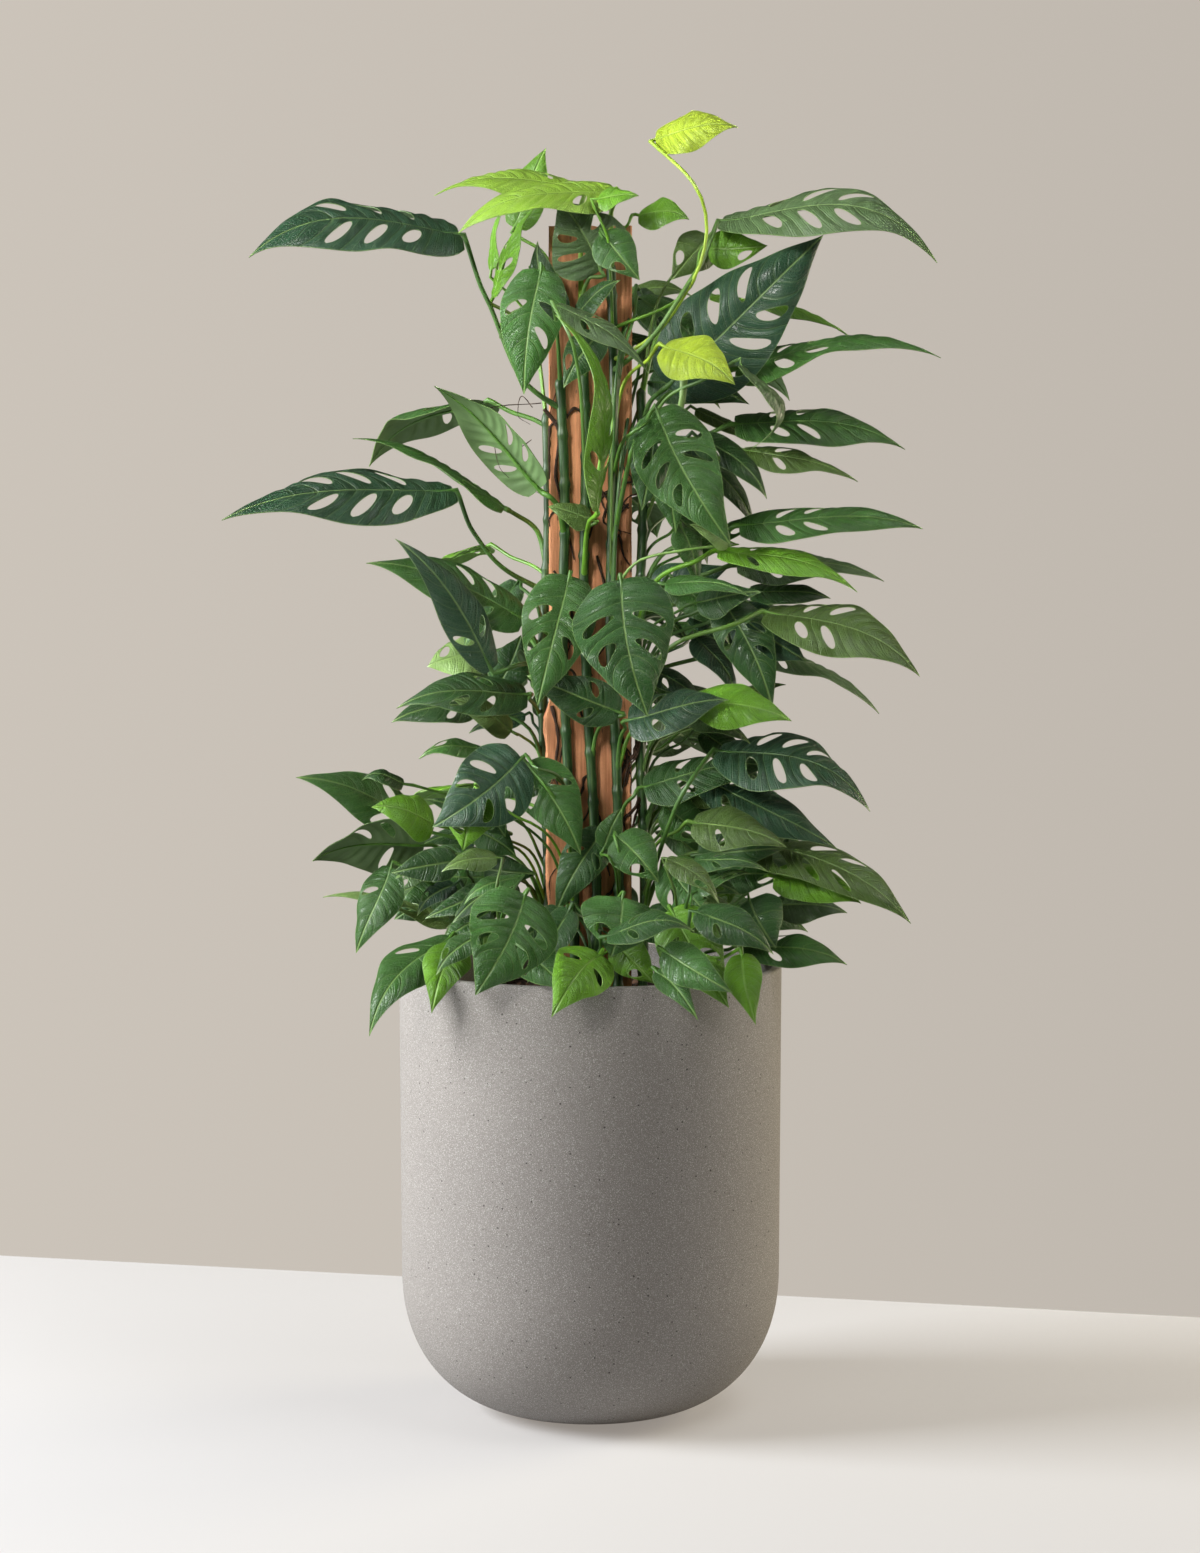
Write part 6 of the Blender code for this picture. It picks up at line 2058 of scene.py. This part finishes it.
@dataclass(frozen=True)
class Board:
    """The rough-sawn board: a plank with worn edges, split and chewed on its left side lower down."""

    width: float = BOARD_WIDTH
    thickness: float = BOARD_THICKNESS
    top: float = BOARD_TOP
    foot: float = 0.290
    corner: float = 0.0016
    rows: int = 420
    # How far the left side stands out past the plank's half width, by height
    chewed: tuple[Pair, ...] = (
        (0.462, 0.0), (0.500, 0.005), (0.540, 0.003), (0.585, 0.007), (0.618, 0.004), (0.652, 0.007),
        (0.668, 0.0),
    )
    # How far the sides lie within the plank's box, and how deep the grain, roughness and saw marks are
    inset: float = 0.0004
    grain: float = 0.00028
    rough: float = 0.00022
    saw: float = 0.00010
    saw_pitch: float = 0.0042
    # How deep the bites in the narrow sides are, how much relief they leave out, and how wide those sides are
    bite: float = 0.0016
    bite_from: float = 0.15
    side: float = 0.004
    # How far the top's edge is worn down, and over what height
    worn: float = 0.0012
    worn_height: float = 0.004

    def section(self) -> Array:
        """The plank's outline from above, with a quarter circle at each corner.

        Returns:
            Points by x and y, evenly spaced.
        """
        half, deep, r = self.width / 2, self.thickness / 2, self.corner
        quarter = np.linspace(0, math.pi / 2, 5)
        corners = []
        for k, (x, y) in enumerate(((half, deep), (-half, deep), (-half, -deep), (half, -deep))):
            angle = quarter + k * math.pi / 2
            cx, cy = x - math.copysign(r, x), y - math.copysign(r, y)
            corners.append(np.stack([cx + r * np.cos(angle), cy + r * np.sin(angle)], -1))
        closed = np.vstack([*corners, corners[0][:1]])
        line = np.column_stack([closed, np.zeros(len(closed))])
        return even(line, 96)[:-1, :2]

    def surface(self) -> Surface:
        """The plank.

        Each height has the same outline. Its left half is stretched out to the chewed line, and every point
        moves in by saw marks, grain and splits: sines and random relief that is long along the grain.

        Returns:
            The closed surface.
        """
        section = self.section()
        z = np.linspace(self.foot, self.top, self.rows)
        x = np.broadcast_to(section[:, 0], (self.rows, len(section))).copy()
        y = np.broadcast_to(section[:, 1], x.shape).copy()
        half = self.width / 2
        heights, out = zip(*self.chewed)
        left = np.interp(z, heights, out)[:, None] * np.clip(-x / half, 0, 1) ** 3
        z = np.broadcast_to(z[:, None], x.shape)
        grain = smooth_noise(np.stack([x, y, z * 0.06], -1), 160, SEED + 3, 3)
        rough = smooth_noise(np.stack([x, y, z], -1), 55, SEED + 4, 4)
        wander = 2.0 * smooth_noise(np.stack([x, y, z], -1), 20, SEED + 5, 1)
        saw = np.sin(TAU * z / self.saw_pitch + wander)
        inward = self.grain * grain + self.rough * rough + self.saw * saw - self.inset
        side = np.abs(x) > half - self.side
        bites = smooth_noise(np.stack([x * 0.2, y, z], -1), 38, SEED + 6, 4) - self.bite_from
        bite = self.bite * np.clip(bites, 0, 1) * side
        spread = 1 + (inward - bite) / half
        x = (x * spread) - left * (0.75 + 0.25 * rough)
        y = y * (1 + inward / (self.thickness / 2))
        near_top = np.clip((z - self.top + self.worn_height) / self.worn_height, 0, 1)
        wear = self.worn * (1 + smooth_noise(np.stack([x, y, z * 0], -1), 60, SEED + 7))
        z = z - near_top * wear
        grid = np.stack([x, y, z], -1)
        ends = np.stack([0.5 * grid[0] * (1, 1, 2), 0.5 * grid[-1] * (1, 1, 2)])
        rings = np.concatenate([ends[:1], grid, ends[1:]])
        return closed_grid(rings, np.array([0, 0, self.foot]), np.array([0, 0, self.top - self.worn]))

    def build(self, finishes: Finishes) -> None:
        """Builds the plank."""
        build("board_plank", self.surface(), [finishes.wood], ("board",))


@dataclass(frozen=True)
class Roots:
    """Aerial roots: dark cords that leave the stems' nodes, cling to the board and hang in fine threads."""

    each: int = 8
    stems: tuple[str, ...] = (FL, FM, FR, SL, SR, BL, BR)
    sides: int = 7
    thickness: Pair = (0.0007, 0.0016)
    thread: float = 0.00045
    drawn_share: float = 1.35
    # How much thinner a root ends, how knobbly it is, how many knobs it has, as an angle, and how it wanders
    thinner: float = 0.6
    knob: float = 0.18
    knobs: float = 31
    wander: float = 0.0005
    # The steps of a clinging root, aside and down, in metres, and the lowest that one starts
    corners: int = 5
    aside: Pair = (0.001, 0.009)
    down: Pair = (0.002, 0.016)
    lowest: float = 0.42
    # Roots that show plainly in front: x and z along each in centimetres, and its thickness
    drawn: tuple[tuple[tuple[Pair, ...], float], ...] = (
        (((-4.3, 94.0), (-3.2, 92.6), (-2.9, 91.0), (-3.2, 88.0), (-2.6, 85.0), (-1.5, 80.0)), 0.0013),
        (((-0.6, 93.6), (-1.6, 94.0), (-2.6, 92.4), (-2.9, 90.4)), 0.0011),
        (((1.0, 86.5), (2.4, 84.6), (3.6, 85.2), (2.0, 83.2), (3.8, 82.4)), 0.0008),
        (((3.6, 84.8), (2.2, 85.6), (1.2, 83.6), (2.8, 82.6), (1.6, 81.4)), 0.0008),
        (((-3.4, 79.0), (-2.2, 76.8), (-1.6, 73.5), (-2.4, 70.5)), 0.0010),
        (((0.6, 80.4), (1.4, 77.5), (2.2, 74.6), (3.4, 72.4)), 0.0010),
        (((-3.6, 66.4), (-3.0, 63.5), (-3.3, 60.0), (-2.2, 57.0)), 0.0013),
        (((2.8, 64.2), (3.5, 61.0), (2.9, 57.6), (3.4, 54.0)), 0.0010),
    )
    threads: tuple[tuple[Triple, ...], ...] = (
        ((-4.6, -0.4, 94.6), (-9.7, -3.0, 93.8), (-9.0, -3.2, 91.0), (-8.0, -3.0, 88.0), (-4.4, -1.2, 86.0)),
        ((-5.4, -0.4, 94.2), (-6.4, -1.2, 95.2), (-6.7, -1.4, 93.4), (-5.6, -0.6, 92.6)),
        ((-5.5, -0.5, 91.2), (-6.6, -1.0, 90.2), (-6.4, -1.2, 88.8), (-5.4, -0.5, 88.0)),
    )
    # A cut leaf stalk on the right stem: its way in centimetres, its radius, its flare and its paleness
    stub: tuple[Triple, ...] = (
        (4.9, -0.6, 88.0), (7.0, -3.0, 91.0), (8.3, -5.6, 94.0), (8.6, -6.0, 97.0),
    )
    stub_radius: float = 0.0031
    stub_flare: float = 0.55
    stub_tint: float = 0.8

    def cut_stalk(self) -> Surface:
        """The cut stalk, a tube that flares at its cut end by a power of the way along it.

        Returns:
            The tube.
        """
        path = spline(np.array(self.stub) * CM, 30)
        share = np.linspace(0, 1, len(path))
        made = sweep(path, self.stub_radius * (1 + self.stub_flare * share**14), 14)
        return made.with_value("tint", np.array(PALE.value) * self.stub_tint)

    def cord(self, points: Array, thick: float, seed: int) -> Surface:
        """A root along a smooth curve through the points, knobbly by a sine and thinner towards its end.

        Args:
            points: where it runs.
            thick: its radius at its start.
            seed: the start of the draw of its wandering, which is a normal draw averaged over five points.

        Returns:
            The tube.
        """
        path = spline(points, max(16, len(points) * 9))
        wobble = np.random.default_rng(seed).normal(0, self.wander, path.shape)
        kernel = np.ones(5) / 5
        wobble = np.stack([np.convolve(wobble[:, k], kernel, "same") for k in range(3)], -1)
        share = np.linspace(0, 1, len(path))
        knobbly = 1 + self.knob * np.sin(self.knobs * share + seed)
        radius = thick * (1 - self.thinner * share**1.5) * knobbly
        return sweep(path + wobble * np.sin(math.pi * share)[:, None], radius, self.sides)

    def clinging(self, name: str, rng: np.random.Generator, number: int) -> Surface:
        """A root that leaves a stem by its nearest board face and wanders down and aside on it.

        Args:
            name: the stem.
            rng: the random draw.
            number: its own number, which seeds its wandering.

        Returns:
            The root.
        """
        z = rng.uniform(self.lowest, STEMS[name].top * CM - 0.03)
        start = stem_axis(name, np.array(z))
        front = -1.0 if start[1] < 0.002 else 1.0
        face = front * (BOARD_THICKNESS / 2 + 0.0006)
        limit = BOARD_WIDTH / 2 - 0.001
        aside = rng.choice((-1.0, 1.0)) if abs(start[0]) < limit - 0.002 else -np.sign(start[0])
        x = start[0] + aside * np.cumsum(rng.uniform(*self.aside, self.corners))
        x = np.clip(x, -limit, limit) if abs(start[0]) < limit else x
        height = z - np.cumsum(rng.uniform(*self.down, self.corners)) - 0.001 * np.arange(1, self.corners + 1)
        way = np.stack([x, np.full(self.corners, face), height], -1)
        return self.cord(np.vstack([start, way]), rng.uniform(*self.thickness), number)

    def build(self, finishes: Finishes) -> None:
        """Builds the drawn roots, the threads and, by rule, some for each stem at the board.

        Args:
            finishes: the object's materials.
        """
        rng = np.random.default_rng(SEED + 8)
        face = -(BOARD_THICKNESS / 2 + 0.0010)
        made = []
        for line, thick in self.drawn:
            places = np.array([(x * CM, face - 0.001, z * CM) for x, z in line])
            made.append(self.cord(places, self.drawn_share * thick, len(made)))
        for line in self.threads:
            made.append(self.cord(np.array(line) * CM, self.thread, len(made)))
        for name in self.stems:
            for _ in range(self.each):
                made.append(self.clinging(name, rng, len(made)))
        build("aerial_roots", merged(made), [finishes.root])
        build("cut_stalk", self.cut_stalk(), [finishes.stalk])


@dataclass(frozen=True)
class Lamp:
    """A square lamp: its place, side, power in watts, colour, where it looks, and its spread in degrees."""

    name: str
    place: Triple
    side: float
    power: float
    colour: Colour
    target: Triple = (0.0, 0.0, 0.6)
    spread: float = 180.0

    def build(self) -> None:
        """Sets the lamp up."""
        light = bpy.data.lights.new(self.name, "AREA")
        light.shape = "SQUARE"
        light.size = self.side
        light.energy = self.power
        light.color = self.colour
        light.spread = math.radians(self.spread)
        stand = bpy.data.objects.new(self.name, light)
        bpy.context.scene.collection.objects.link(stand)
        stand.location = self.place
        stand.rotation_euler = (Vector(self.target) - Vector(self.place)).to_track_quat("-Z", "Y").to_euler()


@dataclass(frozen=True)
class Studio:
    """A pale floor, a plain warm grey surround and soft lights. None of it is part of the object."""

    floor_radius: float = 2.6
    floor_sides: int = 96
    floor_fade: Pair = (1.70, 2.50)
    floor_colour: Colour = (0.450, 0.455, 0.465)
    floor_glow: Colour = (0.262, 0.236, 0.212)
    glow_on_pot: float = 0.4
    # Two points of the floor's far edge, and how softly it ends
    far_edge: tuple[Pair, Pair] = ((-0.690, 0.671), (0.655, 0.354))
    far_blur: float = 0.004
    surround: Colour = (0.590, 0.540, 0.480)
    brightness: float = 0.955
    ambient: float = 0.10
    # How much painted shade darkens the surround towards the right, as the camera sees it
    dimming: float = 0.33
    lamps: tuple[Lamp, ...] = (
        Lamp("key", (-2.72, -0.40, 1.55), 1.5, 172.0, (0.985, 1.0, 1.015)),
        Lamp("plant", (-1.2, -2.4, 2.0), 0.9, 2.15, (1.0, 0.99, 0.95), (0.04, 0.0, 0.94), 18.0),
        Lamp("top", (1.3, -0.7, 2.7), 1.6, 27.0, (1.0, 0.99, 0.96)),
        Lamp("fill", (0.2, -3.2, 1.4), 1.8, 0.5, (0.97, 0.98, 1.0)),
        Lamp("back", (2.3, 1.1, 0.85), 1.2, 44.0, (1.0, 0.88, 0.64)),
    )

    def floor(self) -> None:
        """A disc cut off by a straight far edge, which fades into the surround away from the planter.

        It glows by its glow colour, in full where the camera sees it and less where it lights the object.
        """
        turn = TAU * np.arange(self.floor_sides) / self.floor_sides
        rim = self.floor_radius * np.stack([np.cos(turn), np.sin(turn), np.zeros(self.floor_sides)], -1)
        mesh = bpy.data.meshes.new("floor")
        mesh.from_pydata(rim, [], [list(range(self.floor_sides))])
        piece = bpy.data.objects.new("floor", mesh)
        bpy.context.scene.collection.objects.link(piece)
        coat = Coat("floor", 0.9, 0.5)
        coat.shader.inputs["Base Color"].default_value = (*self.floor_colour, 1.0)
        coat.shader.inputs["Emission Color"].default_value = (*self.floor_glow, 1.0)
        glow = coat.math("MAXIMUM", coat.node("LightPath").outputs["Is Camera Ray"], self.glow_on_pot)
        (x0, y0), (x1, y1) = self.far_edge
        across = unit(np.array([y0 - y1, x1 - x0, 0.0]))
        limit = float(across @ (x0, y0, 0.0))
        at = coat.place()
        beyond = coat.node("VectorMath", {0: at, 1: tuple(across)}, operation="DOT_PRODUCT").outputs["Value"]
        away = coat.node("VectorMath", {0: at}, operation="LENGTH").outputs["Value"]
        near_side = coat.below(beyond, limit, limit + self.far_blur)
        shown = coat.math("MULTIPLY", coat.below(away, *self.floor_fade), near_side)
        mesh.materials.append(coat.finished({"Emission Strength": glow, "Alpha": shown}))

    def backdrop(self) -> None:
        """A surround of one colour, which the camera sees darken to the right by a painted shade and the
        object sees dimly.
        """
        world = bpy.data.worlds.new("surround")
        world.use_nodes = True
        graph = Graph(world.node_tree)
        background = world.node_tree.nodes["Background"]
        background.inputs["Color"].default_value = (*self.surround, 1.0)
        seen_directly = graph.node("LightPath").outputs["Is Camera Ray"]
        right = graph.node("SeparateXYZ", {0: graph.node("TexCoord").outputs["Generated"]}).outputs["X"]
        dimmed = graph.math("MULTIPLY", right, self.dimming)
        shade = graph.math("SUBTRACT", self.brightness - self.ambient, dimmed)
        strength = graph.math("ADD", self.ambient, graph.math("MULTIPLY", seen_directly, shade))
        world.node_tree.links.new(strength, background.inputs["Strength"])
        bpy.context.scene.world = world

    def camera(self) -> None:
        """The photograph's view."""
        lens = bpy.data.cameras.new("camera")
        lens.lens = LENS
        lens.sensor_width = SENSOR
        stand = bpy.data.objects.new("camera", lens)
        bpy.context.scene.collection.objects.link(stand)
        stand.location = EYE
        stand.rotation_euler = Vector(AIM - EYE).to_track_quat("-Z", "Y").to_euler()
        bpy.context.scene.camera = stand

    def build(self) -> None:
        """Sets up the floor, the surround, the lamps and the camera."""
        self.floor()
        self.backdrop()
        for lamp in self.lamps:
            lamp.build()
        bpy.context.scene.view_settings.view_transform = "Standard"
        self.camera()


def main() -> None:
    """Builds the object's pieces in order round the frame, and the studio."""
    logging.basicConfig(level=logging.INFO, format="%(message)s")
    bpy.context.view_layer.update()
    finishes = Finishes()
    Studio().build()
    Planter().build(finishes)
    Soil().build(finishes)
    Board().build(finishes)
    Plant().build(finishes)
    Roots().build(finishes)


if __name__ == "__main__":
    main()
